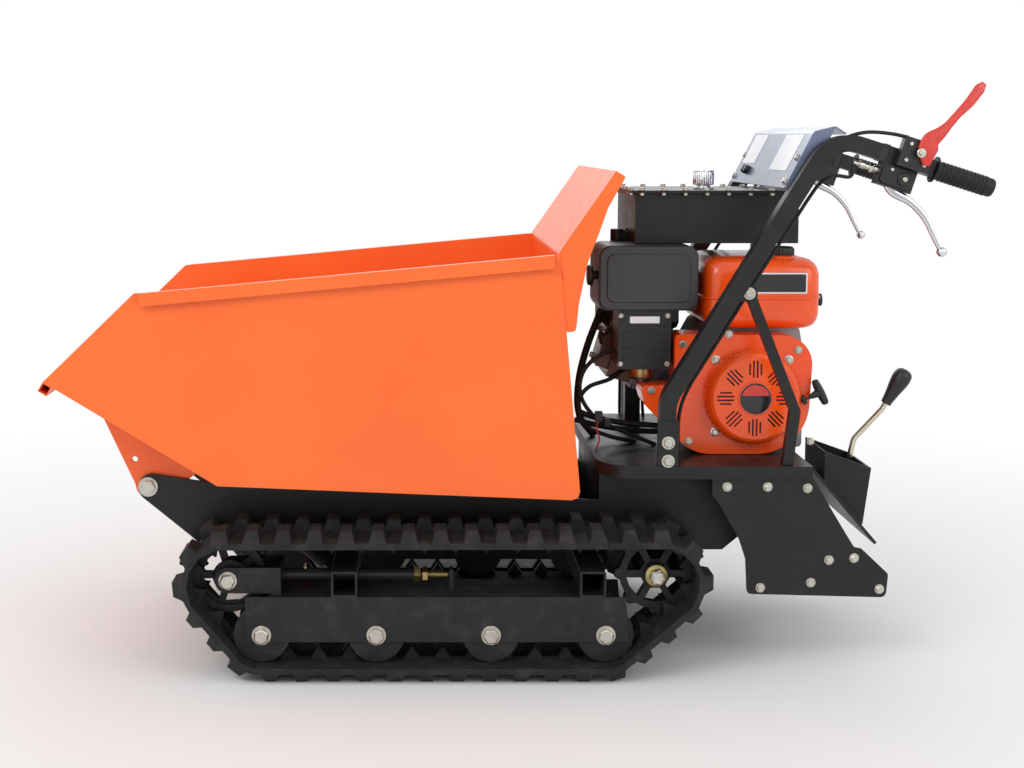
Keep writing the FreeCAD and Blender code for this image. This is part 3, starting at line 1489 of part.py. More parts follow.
def skip_lip():
    """A square tube across the skip, under the end of its front slope."""
    wall = 2
    outlines = []
    for low, high in ((0, z.lip_tube), (wall, z.lip_tube - wall)):
        corners = []
        for back, down in ((low, low), (high, low), (high, high), (low, high)):
            x = z.tip_x - slope_along[0] * back - slope_up[0] * down
            corners.append((x, z.tip_z - slope_along[1] * back - slope_up[1] * down))
        outlines.append(corners)
    outer, hollow = outlines
    tube = plate("lip_bar", "XZ_Plane", outer, "sizes.skip_width")
    return pocket(tube, "XZ_Plane", hollow, "sizes.skip_width + 2", "lip_hollow")


keep(skip_lip(), "skip_lip")


def skip_brackets():
    """Two pivot ears with tie holes, and the two plates that hold the tip cylinder's eye."""
    ear = [
        (857, slope_at(857)), (z.pivot_x + 28, z.pivot_z + 4), (z.pivot_x + 24, z.pivot_z - 12, 15),
        (z.pivot_x + 6, z.pivot_z - z.ear_boss, 15), (z.pivot_x - 26, z.pivot_z - z.ear_boss, 15),
        (610, slope_at(610)),
    ]
    holes = [
        (z.pivot_x, z.pivot_z, z.pivot_radius + z.pivot_fit),
        (z.tie_hole_x, z.tie_hole_z, z.tie_hole_radius),
    ]
    things = []
    inside = "sizes.chassis_width / 2 - sizes.chassis_plate - sizes.ear_gap"
    for name, sign in SIDES:
        middle = f"{sign} * ({inside} - sizes.ear_plate / 2)"
        things.append(plate("ear_" + name, "XZ_Plane", ear, "sizes.ear_plate", middle, holes))
    eye_x, eye_z = z.cylinder_eye_x, z.cylinder_eye_z
    lug = [
        (eye_x - 42, slope_at(eye_x - 42)), (eye_x - 22, eye_z - 18, 15), (eye_x + 22, eye_z - 18, 15),
        (eye_x + 60, slope_at(eye_x + 60)),
    ]
    for name, sign in SIDES:
        middle = f"{sign} * (sizes.eye_width / 2 + sizes.lug_plate_gap + sizes.lug_plate / 2)"
        hole = [ring_corners(eye_x, eye_z, z.eye_pin_radius + 1, 12)]
        things.append(plate("eye_plate_" + name, "XZ_Plane", lug, "sizes.lug_plate", middle, windows=hole))
    return grouped("skip_bracket_set", things)


keep(skip_brackets(), "skip_brackets")


def pivot_pin():
    half = z.chassis_width / 2
    start = ("0", str(-half - 1), "0")
    pieces = [rod("pivot_shank", "sizes.pivot_radius", str(2 * half + 2), start, Vector(0, 1, 0))]
    for sign, name in ((-1, "near"), (1, "far")):
        for part, sides, radius, begin, end in (
            ("washer", 16, "sizes.pivot_washer_radius", half, half + 4),
            ("head", 6, "15", half + 3, half + 14),
        ):
            low, high = sorted((sign * begin, sign * end))
            pieces.append(across(f"pivot_{part}_{name}", sides, radius, low, high, "0", "0", "0"))
    return placed(fused("pivot_bar", pieces), "sizes.pivot_x", "0", "sizes.pivot_z")


keep(pivot_pin(), "pivot_pin")

cylinder_spot = Placement(
    Vector(z.cylinder_base_x, 0, z.cylinder_base_z),
    Rotation(Vector(1, 0, 0), Vector(math.cos(cylinder_lift), 0, math.sin(cylinder_lift))),
)


def eye_ring(x):
    """The eye at an end of the cylinder, with flats, before its bore."""
    edges = outline(ring_corners(x, 0, z.eye_radius, 12))
    return prism(edges, -z.eye_width / 2, z.eye_width)


def cylinder_barrel():
    half = z.eye_width / 2
    eye = eye_ring(0)
    bore_radius = z.eye_pin_radius + z.pivot_fit
    hole = Part.makeCylinder(bore_radius, 2 * half + 2, Vector(0, -half - 1, 0), Vector(0, 1, 0))
    start = 34
    tube = Part.makeCylinder(z.cylinder_radius, z.cylinder_length, Vector(start, 0, 0), Vector(1, 0, 0))
    neck = Part.makeBox(start + 4, 2 * half, 26, Vector(0, -half, -13))
    inner = z.rod_radius + z.rod_fit
    bore = Part.makeCylinder(inner, z.cylinder_length, Vector(start + 30, 0, 0), Vector(1, 0, 0))
    barrel = eye.fuse([tube, neck]).cut([hole, bore])
    barrel.Placement = cylinder_spot
    return shaped("barrel", barrel)


keep(cylinder_barrel(), "cylinder_barrel")


def cylinder_rod():
    half = z.eye_width / 2
    eye = eye_ring(cylinder_reach)
    pin_start = Vector(cylinder_reach, -half - 2, 0)
    pin = Part.makeCylinder(z.eye_pin_radius, 2 * half + 4, pin_start, Vector(0, 1, 0))
    inner = 70
    bar = Part.makeCylinder(z.rod_radius, cylinder_reach - inner, Vector(inner, 0, 0), Vector(1, 0, 0))
    piston = eye.fuse([bar, pin])
    piston.Placement = cylinder_spot
    return shaped("rod", piston.removeSplitter())


keep(cylinder_rod(), "cylinder_rod")

doc.recompute()
for thing in doc.Objects:
    if "Invalid" in thing.State or "Error" in thing.State:
        raise RuntimeError(f"{thing.Name} did not build: {thing.State}")
os.makedirs("parts", exist_ok=True)
for thing in PARTS:
    shape = thing.Shape
    if shape.isNull() or not shape.isValid():
        raise RuntimeError(f"{thing.Label} has no valid shape")
    shape.exportStep(f"parts/{thing.Label}.step")
print(len(PARTS), "sub-parts; belt loop", round(loop_length, 2), "mm, link pitch", round(link_pitch, 3))
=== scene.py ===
import math

import bmesh
import bpy
from mathutils import Matrix, Vector

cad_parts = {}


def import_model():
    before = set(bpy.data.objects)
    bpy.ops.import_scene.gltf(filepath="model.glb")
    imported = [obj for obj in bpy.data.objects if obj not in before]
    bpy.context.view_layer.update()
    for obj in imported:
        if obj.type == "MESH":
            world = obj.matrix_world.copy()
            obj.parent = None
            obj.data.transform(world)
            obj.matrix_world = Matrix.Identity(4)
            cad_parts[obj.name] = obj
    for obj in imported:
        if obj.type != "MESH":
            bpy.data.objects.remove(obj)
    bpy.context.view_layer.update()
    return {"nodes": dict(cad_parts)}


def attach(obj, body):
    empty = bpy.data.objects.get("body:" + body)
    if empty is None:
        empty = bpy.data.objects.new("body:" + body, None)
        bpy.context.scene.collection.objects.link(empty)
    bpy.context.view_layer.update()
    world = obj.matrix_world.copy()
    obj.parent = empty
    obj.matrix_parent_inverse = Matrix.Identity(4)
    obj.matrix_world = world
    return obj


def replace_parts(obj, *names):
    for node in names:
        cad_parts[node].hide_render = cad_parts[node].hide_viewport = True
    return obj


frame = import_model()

# Lengths in the tables are millimetres in the model's frame: X forward to the skip's tip,
# Y to the machine's left, Z up.

LEFT = Vector((0, 1, 0))
UP = Vector((0, 0, 1))
FORWARD = Vector((1, 0, 0))
RIGHT = -LEFT


# Materials


def linear(red, green, blue):
    """A colour given in sRGB steps of 255, as the shader wants it."""
    steps = [c / 255 for c in (red, green, blue)]
    return [c / 12.92 if c <= 0.04045 else ((c + 0.055) / 1.055) ** 2.4 for c in steps] + [1.0]


class Nodes:
    """Short names for the nodes of one material."""

    def __init__(self, name):
        self.material = bpy.data.materials.new(name)
        self.material.use_nodes = True
        self.tree = self.material.node_tree
        self.tree.nodes.clear()
        self.where = self.add("ShaderNodeNewGeometry")

    def add(self, kind, **settings):
        node = self.tree.nodes.new(kind)
        for key, value in settings.items():
            setattr(node, key, value)
        return node

    def link(self, source, target):
        self.tree.links.new(source, target)

    def noise(self, scale, detail=3.0, rough=0.5, stretch=None):
        """Noise over the surface, its scale in waves a metre."""
        node = self.add("ShaderNodeTexNoise")
        node.inputs["Scale"].default_value = scale
        node.inputs["Detail"].default_value = detail
        node.inputs["Roughness"].default_value = rough
        place = self.where.outputs["Position"]
        if stretch:
            scaled = self.add("ShaderNodeVectorMath", operation="MULTIPLY")
            scaled.inputs[1].default_value = stretch
            self.link(place, scaled.inputs[0])
            place = scaled.outputs[0]
        self.link(place, node.inputs["Vector"])
        return node.outputs["Fac"]

    def ranged(self, value, low, high, out_low=0.0, out_high=1.0):
        node = self.add("ShaderNodeMapRange")
        sockets = ("From Min", "From Max", "To Min", "To Max")
        for socket, number in zip(sockets, (low, high, out_low, out_high)):
            node.inputs[socket].default_value = number
        self.link(value, node.inputs["Value"])
        return node.outputs["Result"]

    def mixed(self, share, first, second):
        node = self.add("ShaderNodeMix", data_type="RGBA")
        self.link(share, node.inputs["Factor"])
        for socket, colour in (("A", first), ("B", second)):
            target = next(s for s in node.inputs if s.name == socket and s.type == "RGBA")
            if isinstance(colour, bpy.types.NodeSocket):
                self.link(colour, target)
            else:
                target.default_value = colour
        return next(s for s in node.outputs if s.type == "RGBA")

    def maths(self, operation, first, second=0.0):
        node = self.add("ShaderNodeMath", operation=operation)
        for i, value in enumerate((first, second)):
            if isinstance(value, bpy.types.NodeSocket):
                self.link(value, node.inputs[i])
            else:
                node.inputs[i].default_value = value
        return node.outputs[0]


def finish_of(
    name, colour, other, rough, metal=0.0, blotch=7.0, grain=700.0, depth=0.00003, coat=0.0,
    gloss=0.5, edge=None, edge_share=0.5, dust=None, dust_share=0.0, stretch=None,
):
    """A finish with blotches of a second colour, uneven roughness, fine relief and worn edges."""
    n = Nodes(name)
    shader = n.add("ShaderNodeBsdfPrincipled")
    output = n.add("ShaderNodeOutputMaterial")
    n.link(shader.outputs[0], output.inputs["Surface"])
    low, high = rough
    blotches = n.ranged(n.noise(blotch, 4.0, 0.55), 0.35, 0.65)
    base = n.mixed(blotches, colour, other)
    if dust:
        patches = n.ranged(n.noise(26.0, 6.0, 0.65), 0.5, 0.72, 0.0, dust_share)
        base = n.mixed(patches, base, dust)
    bevel = n.add("ShaderNodeBevel", samples=3)
    bevel.inputs["Radius"].default_value = 0.0012
    if edge:
        turn = n.add("ShaderNodeVectorMath", operation="DOT_PRODUCT")
        n.link(bevel.outputs[0], turn.inputs[0])
        n.link(n.where.outputs["True Normal"], turn.inputs[1])
        corner = n.ranged(turn.outputs["Value"], 0.97, 0.80)
        broken = n.ranged(n.noise(90.0, 5.0, 0.7), 0.47, 0.60, 0.0, edge_share)
        base = n.mixed(n.maths("MULTIPLY", corner, broken), base, edge)
    n.link(base, shader.inputs["Base Color"])
    n.link(n.ranged(n.noise(38.0, 5.0, 0.6), 0.3, 0.7, low, high), shader.inputs["Roughness"])
    relief = n.add("ShaderNodeBump")
    relief.inputs["Strength"].default_value = 0.5
    relief.inputs["Distance"].default_value = depth
    n.link(n.noise(grain, 2.0, 0.5, stretch), relief.inputs["Height"])
    n.link(bevel.outputs[0], relief.inputs["Normal"])
    n.link(relief.outputs[0], shader.inputs["Normal"])
    shader.inputs["Metallic"].default_value = metal
    shader.inputs["Coat Weight"].default_value = coat
    shader.inputs["Coat Roughness"].default_value = 0.12
    shader.inputs["Specular IOR Level"].default_value = gloss
    return n.material


GREY_EDGE = linear(120, 118, 112)
DUST = linear(92, 86, 78)
FINISH = {
    "skip_paint": finish_of(
        "skip_paint", linear(252, 112, 38), linear(247, 103, 33), (0.30, 0.42), coat=0.12,
        blotch=3.0, grain=420.0, depth=0.00004, edge=linear(214, 84, 24), edge_share=0.35,
    ),
    "engine_paint": finish_of(
        "engine_paint", linear(250, 88, 16), linear(240, 78, 12), (0.20, 0.30), coat=0.35,
        grain=260.0, depth=0.00002, edge=linear(205, 62, 10), edge_share=0.3,
    ),
    "black_paint": finish_of(
        "black_paint", linear(27, 27, 28), linear(22, 22, 23), (0.34, 0.46), gloss=0.35,
        grain=900.0, depth=0.00005, edge=GREY_EDGE, edge_share=0.35, dust=DUST, dust_share=0.06,
    ),
    "running_gear": finish_of(
        "running_gear", linear(30, 30, 31), linear(24, 24, 25), (0.42, 0.58), gloss=0.35,
        grain=700.0, depth=0.00006, edge=GREY_EDGE, edge_share=0.6, dust=DUST, dust_share=0.22,
    ),
    "track_rubber": finish_of(
        "track_rubber", linear(35, 35, 36), linear(27, 27, 28), (0.62, 0.82), gloss=0.3,
        blotch=14.0, grain=520.0, depth=0.00012, edge=linear(70, 69, 67), edge_share=0.4,
        dust=linear(84, 80, 74), dust_share=0.30,
    ),
    "soft_rubber": finish_of(
        "soft_rubber", linear(28, 28, 29), linear(23, 23, 24), (0.50, 0.66), gloss=0.35,
        grain=1100.0, depth=0.00006,
    ),
    "black_plastic": finish_of(
        "black_plastic", linear(31, 31, 33), linear(25, 25, 27), (0.34, 0.46), gloss=0.45,
        grain=1300.0, depth=0.00007,
    ),
    # A grey lighter than the black plastic, as a painted sheen on the air cleaner's cover.
    "sheen_painted_filter_plastic": finish_of(
        "sheen_painted_filter_plastic", linear(48, 49, 52), linear(40, 41, 44), (0.26, 0.34), gloss=0.55,
        grain=1300.0, depth=0.00004, coat=0.2,
    ),
    "chrome": finish_of(
        "chrome", linear(226, 227, 230), linear(214, 215, 220), (0.06, 0.14), metal=1.0,
        grain=300.0, depth=0.000008,
    ),
    "zinc": finish_of(
        "zinc", linear(206, 203, 194), linear(186, 183, 172), (0.22, 0.38), metal=1.0,
        blotch=60.0, grain=900.0, depth=0.00003,
    ),
    "yellow_zinc": finish_of(
        "yellow_zinc", linear(190, 172, 118), linear(156, 140, 98), (0.28, 0.42), metal=1.0,
        blotch=60.0, grain=900.0, depth=0.00003,
    ),
    "bright_rod": finish_of(
        "bright_rod", linear(212, 208, 190), linear(196, 190, 168), (0.14, 0.26), metal=1.0,
        grain=500.0, depth=0.00001, stretch=(6.0, 6.0, 0.4),
    ),
    "cast_alloy": finish_of(
        "cast_alloy", linear(150, 150, 150), linear(128, 128, 127), (0.42, 0.58), metal=0.85,
        blotch=18.0, grain=1000.0, depth=0.0001, dust=DUST, dust_share=0.2,
    ),
    "burnt_cover": finish_of(
        "burnt_cover", linear(98, 58, 44), linear(74, 44, 36), (0.24, 0.36), metal=0.55,
        grain=600.0, depth=0.00003, edge=linear(150, 110, 90), edge_share=0.4,
    ),
    "heat_paint": finish_of(
        "heat_paint", linear(38, 37, 37), linear(54, 50, 47), (0.46, 0.62), gloss=0.3,
        blotch=16.0, grain=900.0, depth=0.00006,
    ),
    "console_paint": finish_of(
        "console_paint", linear(112, 124, 152), linear(98, 110, 140), (0.24, 0.32), metal=0.2,
        grain=500.0, depth=0.00002, coat=0.4,
    ),
    "red_plastic": finish_of(
        "red_plastic", linear(214, 58, 46), linear(204, 50, 40), (0.26, 0.36), coat=0.2,
        grain=420.0, depth=0.00002,
    ),
    "white_label": finish_of(
        "white_label", linear(238, 240, 244), linear(228, 231, 238), (0.30, 0.42),
        grain=400.0, depth=0.00001,
    ),
    "dark_label": finish_of(
        "dark_label", linear(30, 31, 34), linear(26, 27, 30), (0.22, 0.30), coat=0.3,
        grain=400.0, depth=0.00001,
    ),
}

NODE_FINISH = {
    "skip_paint": [
        "skip_floor", "skip_side_left", "skip_side_right", "skip_rear_wall", "skip_lip", "skip_brackets",
    ],
    "engine_paint": ["fan_housing", "recoil_cover", "fuel_tank"],
    "black_paint": [
        "chassis_frame", "engine_deck", "rear_panel_left", "rear_panel_right", "lever_box",
        "handlebar_left", "handlebar_right", "handlebar_brace_left", "handlebar_brace_right",
        "hydraulic_tank", "tank_posts", "cylinder_barrel",
    ],
    "running_gear": [
        "roller_frame_left", "roller_frame_right", "cross_tubes", "rollers_left", "rollers_right",
        "idler_left", "idler_right", "sprocket_left", "sprocket_right", "tensioner_left",
        "tensioner_right", "transmission",
    ],
    "track_rubber": ["track_left", "track_right"],
    "soft_rubber": ["grips", "skip_buffers"],
    "black_plastic": [
        "air_filter", "carburettor", "fuel_cap", "gear_knob", "starter_grip", "lever_brackets",
    ],
    "chrome": ["steering_levers", "tank_cap", "cylinder_rod"],
    "bright_rod": ["gear_lever"],
    "zinc": ["pivot_pin"],
    "red_plastic": ["clutch_lever"],
    "cast_alloy": ["engine_block"],
    "burnt_cover": ["cylinder_head"],
    "heat_paint": ["muffler", "belt_guard"],
    "console_paint": ["console"],
}
for finish, nodes in NODE_FINISH.items():
    for node in nodes:
        slots = frame["nodes"][node].data.materials
        slots.clear()
        slots.append(FINISH[finish])


# Shapes


def looking(place, out, up=UP):
    """A frame at a place, its Z along out and its Y as near to up as that allows."""
    z = Vector(out).normalized()
    side = Vector(up).cross(z)
    x = side.normalized() if side.length > 1e-6 else FORWARD.copy()
    matrix = Matrix((x, z.cross(x), z)).transposed().to_4x4()
    matrix.translation = Vector(place)
    return matrix


class Shape:
    """Collects points and faces in millimetres and makes one mesh of them."""

    def __init__(self):
        self.points = []
        self.faces = []

    def skin(self, rings, loop=False):
        """Skins rings of equally many points, with a face over each end."""
        first = len(self.points)
        count, rows = len(rings[0]), len(rings)
        self.points += [tuple(p) for ring in rings for p in ring]
        for row in range(rows if loop else rows - 1):
            a, b = first + row * count, first + (row + 1) % rows * count
            for i in range(count):
                j = (i + 1) % count
                self.faces.append((a + i, a + j, b + j, b + i))
        if not loop:
            self.faces.append(tuple(first + i for i in reversed(range(count))))
            self.faces.append(tuple(first + (rows - 1) * count + i for i in range(count)))

    def turned(self, place, axis, profile, sides=24, turn=0.0):
        """A turned piece: profile steps are (radius, distance along the axis)."""
        at = looking(place, axis)
        rings = []
        for radius, along in profile:
            radius = max(radius, 0.01)
            angles = [turn + 2 * math.pi * i / sides for i in range(sides)]
            rings.append([at @ Vector((radius * math.cos(a), radius * math.sin(a), along)) for a in angles])
        self.skin(rings)

    def slab(self, at, outline, height, chamfer=0.0, base=0.0):
        """A plate of a convex outline on a frame's XY plane, its top edge chamfered."""
        middle = Vector((sum(p[0] for p in outline), sum(p[1] for p in outline))) / len(outline)
        rings = []
        for level, inset in ((base, 0.0), (base + height - chamfer, 0.0), (base + height, chamfer)):
            ring = []
            for x, y in outline:
                offset = Vector((x, y)) - middle
                share = max(offset.length - inset, 0.0) / offset.length
                ring.append(at @ Vector((*(middle + offset * share), level)))
            rings.append(ring)
        self.skin(rings)

    def tube(self, points, radius, sides=10):
        """A round tube along points, without twist."""
        points = [Vector(p) for p in points]
        along = (points[1] - points[0]).normalized()
        across = along.orthogonal().normalized()
        rings = []
        for i, point in enumerate(points):
            ahead = points[min(i + 1, len(points) - 1)] - points[max(i - 1, 0)]
            ahead.normalize()
            across = (across - ahead * across.dot(ahead)).normalized()
            beside = ahead.cross(across)
            angles = [2 * math.pi * k / sides for k in range(sides)]
            rings.append([point + (across * math.cos(a) + beside * math.sin(a)) * radius for a in angles])
        self.skin(rings)

    def made(self, name, finish, slot, body="root", sharp=35.0):
        mesh = bpy.data.meshes.new(name)
        mesh.from_pydata([[c / 1000 for c in p] for p in self.points], [], self.faces)
        worked = bmesh.new()
        worked.from_mesh(mesh)
        bmesh.ops.recalc_face_normals(worked, faces=worked.faces)
        worked.to_mesh(mesh)
        worked.free()
        mesh.shade_smooth()
        mesh.set_sharp_from_angle(angle=math.radians(sharp))
        mesh.materials.append(FINISH[finish])
        thing = bpy.data.objects.new(name, mesh)
        bpy.context.scene.collection.objects.link(thing)
        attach(thing, body)
        return thing


def rounded(width, height, radius, steps=5):
    """Corners of a rounded rectangle about the middle."""
    corners = []
    for sx, sy, start in ((1, 1, 0), (-1, 1, 90), (-1, -1, 180), (1, -1, 270)):
        cx, cy = sx * (width / 2 - radius), sy * (height / 2 - radius)
        for i in range(steps + 1):
            a = math.radians(start + 90 * i / steps)
            corners.append((cx + radius * math.cos(a), cy + radius * math.sin(a)))
    return corners


def hexagon(shape, place, axis, corner, height, turn=0.3):
    """A nut or bolt head with its rounded crown."""
    shape.turned(place, axis, [(corner, 0), (corner, height * 0.8), (corner * 0.84, height)], 6, turn)


# Places that several pieces share, in millimetres

SIDES = (1, -1)
TRACK_MIDDLE = 285
BAR_MIDDLE = 262
DECK_TOP = 403
LID_TOP = 935
DRIVE = Vector((-268, 0, 194))
IDLER = Vector((562, 0, 190))
ROLLERS = [Vector((-166 + i * 220.7, 0, 87.6)) for i in range(4)]
ENGINE_SHAFT = Vector((-478, 0, 523))
CYLINDER_LEAN = math.radians(16)
CYLINDER_ALONG = Vector((math.cos(CYLINDER_LEAN), 0, math.sin(CYLINDER_LEAN)))
CYLINDER_ACROSS = Vector((-math.sin(CYLINDER_LEAN), 0, math.cos(CYLINDER_LEAN)))


def at_y(place, y):
    """The same place at another distance across the machine."""
    return Vector((place[0], y, place[2]))


# Fasteners


def bolts(name, rows, finish="zinc", slot="bare_steel", body="root"):
    """Washers and hexagon heads; a row is place, axis, corner radius, height, washer radius."""
    thickness = 1.8
    edge = 0.4
    shape = Shape()
    for i, (place, axis, corner, height, washer) in enumerate(rows):
        axis = Vector(axis)
        shape.turned(place, axis, [(washer, 0), (washer, thickness - edge), (washer - edge, thickness)], 20)
        hexagon(shape, Vector(place) + axis * thickness, axis, corner, height, 0.4 + i * 0.7)
    return shape.made(name, finish, slot, body)


def axle_nuts():
    """Nuts on the ends of the rollers' and the idlers' axles."""
    roller_axle_end = 345
    idler_axle_end = 329
    rows = []
    for side in SIDES:
        for roller in ROLLERS:
            rows.append((at_y(roller, side * roller_axle_end), LEFT * side, 15.5, 11, 19))
        rows.append((at_y(IDLER, side * idler_axle_end), LEFT * side, 15.5, 11, 18))
    bolts("axle_nuts", rows)


axle_nuts()


def panel_bolts():
    """Bolts through the rear panels."""
    panel_face = 277
    spots = [
        # x, z
        (-409, 361.6), (-488, 361.6), (-566, 359), (-611, 216), (-660, 220), (-576, 171), (-477, 160.6),
        (-711, 158),
    ]
    rows = []
    for x, z in spots:
        for side in SIDES:
            rows.append(((x, side * panel_face, z), LEFT * side, 7.5, 5, 9.5))
    bolts("panel_bolts", rows)


panel_bolts()


def handlebar_plates():
    """The bracket over each handlebar's foot, the plate at each brace's top, and their bolts."""
    foot_x, foot_face, foot_thickness = -292, 278, 4
    brace_height, brace_face, brace_thickness = 741, 272, 4
    rows = []
    for side in SIDES:
        for z in (449.5, 413.6):
            place = (foot_x, side * (foot_face + foot_thickness), z)
            rows.append((place, LEFT * side, 9.5, 7, 13))
        place = (-446, side * (brace_face + brace_thickness), brace_height)
        rows.append((place, LEFT * side, 9.0, 6.5, 12))
    bolts("handlebar_bolts", rows)
    shape = Shape()
    for side in SIDES:
        at = looking((foot_x, side * foot_face, 447.5), LEFT * side)
        shape.slab(at, rounded(41, 89, 4), foot_thickness, 0.8)
        at = looking((-440, side * brace_face, brace_height), LEFT * side)
        shape.slab(at, rounded(44, 32, 9), brace_thickness, 0.8)
    shape.made("foot_plates", "black_paint", "black_paint")


handlebar_plates()

# Running gear


def drive_hubs():
    """Washer, castle nut and split pin on each end of the drive shaft."""
    hub_face = 307
    nut_seat = 312.4
    castle_seat = 321
    castle_turn = 0.2
    washers, nuts = Shape(), Shape()
    for side in SIDES:
        out = LEFT * side
        washers.turned(at_y(DRIVE, side * hub_face), out, [(21, 0), (22, 1), (22, 4.5), (20.5, 5.5)], 36)
        nut = [(16, 0), (16.5, 2), (16.5, 8), (15, 9.5)]
        nuts.turned(at_y(DRIVE, side * nut_seat), out, nut, 6, castle_turn)
        castle = at_y(DRIVE, side * castle_seat)
        nuts.turned(castle, out, [(11.6, 0), (11.6, 5.5), (10.8, 6.2)], 20)
        for i in range(6):
            angle = math.pi / 3 * i + castle_turn
            tooth = castle + Vector((11.5 * math.cos(angle), 0, 11.5 * math.sin(angle)))
            nuts.turned(tooth, out, [(2.6, 0), (2.6, 6), (2.0, 6.8)], 8)
        pin = [(-282, 325, 196), (-268, 325, 194), (-255, 325, 190), (-252, 323, 184)]
        nuts.tube([at_y(place, place[1] * side) for place in pin], 1.3, 8)
    washers.made("hub_washers", "yellow_zinc", "bare_steel")
    nuts.made("hub_nuts", "zinc", "bare_steel")


drive_hubs()


def tensioner_parts():
    """Lock nuts and thread of each track tensioner, and the grease nipple on its frame."""
    thread_start, thread_pitch, thread_turns = 136, 2.5, 16
    shape = Shape()
    for side in SIDES:
        screw = at_y(IDLER, side * TRACK_MIDDLE)
        for x, height, turn in ((190, 11, 0.1), (176, 9, 0.5)):
            screw.x = x
            nut = [(14.5, 0), (15.5, 1.5), (15.5, height), (14.5, height + 1.6)]
            shape.turned(screw, FORWARD, nut, 6, turn)
        for i in range(thread_turns):
            screw.x = thread_start + i * thread_pitch
            shape.turned(screw, FORWARD, [(7.6, 0), (8.6, 0.9), (8.6, 1.4), (7.6, 2.3)], 18)
        nipple = [(4, 0), (4, 4), (2.4, 5), (2.4, 8), (3, 9), (2, 11)]
        shape.turned((415, side * TRACK_MIDDLE, 202), UP, nipple, 12)
    shape.made("tensioner_nuts", "yellow_zinc", "bare_steel")


tensioner_parts()


def wheel_caps():
    """Hub caps on both faces of the rollers and on the idlers' outer faces."""
    roller_faces = (333.8, 236.2)
    idler_face = 298.1
    shape = Shape()
    for side in SIDES:
        for roller in ROLLERS:
            for y in roller_faces:
                cap = [(30, 0), (31, 0.6), (31, 1.4), (28, 2.2)]
                shape.turned(at_y(roller, side * y), LEFT * side, cap, 28)
        cap = [(32, 0), (33, 0.6), (30, 2.2), (24, 2.8)]
        shape.turned(at_y(IDLER, side * idler_face), LEFT * side, cap, 28)
    shape.made("wheel_caps", "running_gear", "black_paint")


wheel_caps()

# Controls: grips, switches, levers, knobs and caps

BAR_END = Vector((-798, 0, 981))
BAR_ALONG = Vector((0.9519, 0, 0.3064))
BAR_UP = Vector((-0.3064, 0, 0.9519))


def on_bar(reach, rise, y):
    """A place by the handlebar: reach along it from its end, rise above its middle line."""
    return at_y(BAR_END + BAR_ALONG * reach + BAR_UP * rise, y)


def rubber_grips():
    """Ribbed grips with a flange towards the levers."""
    ribs, first_rib, rib_step = 12, 13, 8
    profile = [(17, 0), (25.2, 0.4), (26, 1.4), (25.6, 3.4), (19.4, 5.5), (18.3, 8)]
    for i in range(ribs):
        start = first_rib + i * rib_step
        profile += [(18.2, start), (19.4, start + 0.9), (19.4, start + 4.2), (18.2, start + 5.1)]
    profile += [(18.4, 114), (18.2, 117.5), (16.5, 120.6), (12, 122), (3, 122.2)]
    shape = Shape()
    for side in SIDES:
        shape.turned(on_bar(-0.5, 0, side * BAR_MIDDLE), -BAR_ALONG, profile, 40)
    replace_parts(shape.made("rubber_grips", "soft_rubber", "grip_rubber"), "grips")


rubber_grips()


def switch_housings():
    """Clamps and switch faces on the lever blocks, with their screws and cable adjusters."""
    block_face = 278
    switch_face = block_face + 5
    bracket_face = 298
    clamp = [(22.8, 0), (24.4, 1.2), (24.4, 13), (22.8, 14.2)]
    adjuster = [(7, 0), (7, 9), (5.4, 10), (5.4, 26), (6.8, 27), (6.8, 38), (4.2, 39), (4.2, 50)]
    shells, bright = Shape(), Shape()
    for side in SIDES:
        out = LEFT * side
        middle = side * BAR_MIDDLE
        for reach in (34, 96):
            shells.turned(on_bar(reach, 0, middle), BAR_ALONG, clamp, 4, math.pi / 4)
        at = looking(on_bar(66, -37, side * block_face), out, BAR_UP)
        shells.slab(at, rounded(62, 38, 8), 5, 1.4)
        shells.turned(on_bar(52, -37, side * switch_face), out, [(13.5, 0), (13.5, 3.4), (12, 4.6)], 28)
        bright.turned(on_bar(52, -37, side * 287.4), out, [(4.8, 0), (4.8, 1.8), (3.8, 2.6)], 16)
        bright.turned(on_bar(80, -26, side * 282.8), out, [(3.6, 0), (3.6, 1.6), (2.8, 2.4)], 16)
        bright.turned(on_bar(100, -34, middle), BAR_ALONG, adjuster, 20)
        hexagon(bright, on_bar(112, -34, middle), BAR_ALONG, 9, 6)
    for reach, rise in ((30, 30), (66, 30), (30, -2), (66, -2)):
        bright.turned(on_bar(reach, rise, bracket_face), LEFT, [(4.0, 0), (4.0, 2.4), (3.2, 3.2)], 16)
    pivot = [(9, 0), (9, 2.4), (7.6, 3.4), (5, 3.4), (5, 6), (4.2, 6.8)]
    bright.turned(on_bar(46, 18, bracket_face + 10), LEFT, pivot, 20)
    shells.made("switch_shells", "black_plastic", "black_plastic")
    bright.made("lever_hardware", "zinc", "bare_steel")


switch_housings()


def smooth(points, steps=6):
    """More points along a curve through the given ones."""
    ends = [Vector(p) for p in points]
    ends = [ends[0] * 2 - ends[1]] + ends + [ends[-1] * 2 - ends[-2]]
    curve = []
    for a, b, c, d in zip(ends, ends[1:], ends[2:], ends[3:]):
        for i in range(steps):
            t = i / steps
            bend = (a * 2 - b * 5 + c * 4 - d) * t ** 2 + (b * 3 - a - c * 3 + d) * t ** 3
            curve.append((b * 2 + (c - a) * t + bend) / 2)
    curve.append(ends[-2])
    return curve


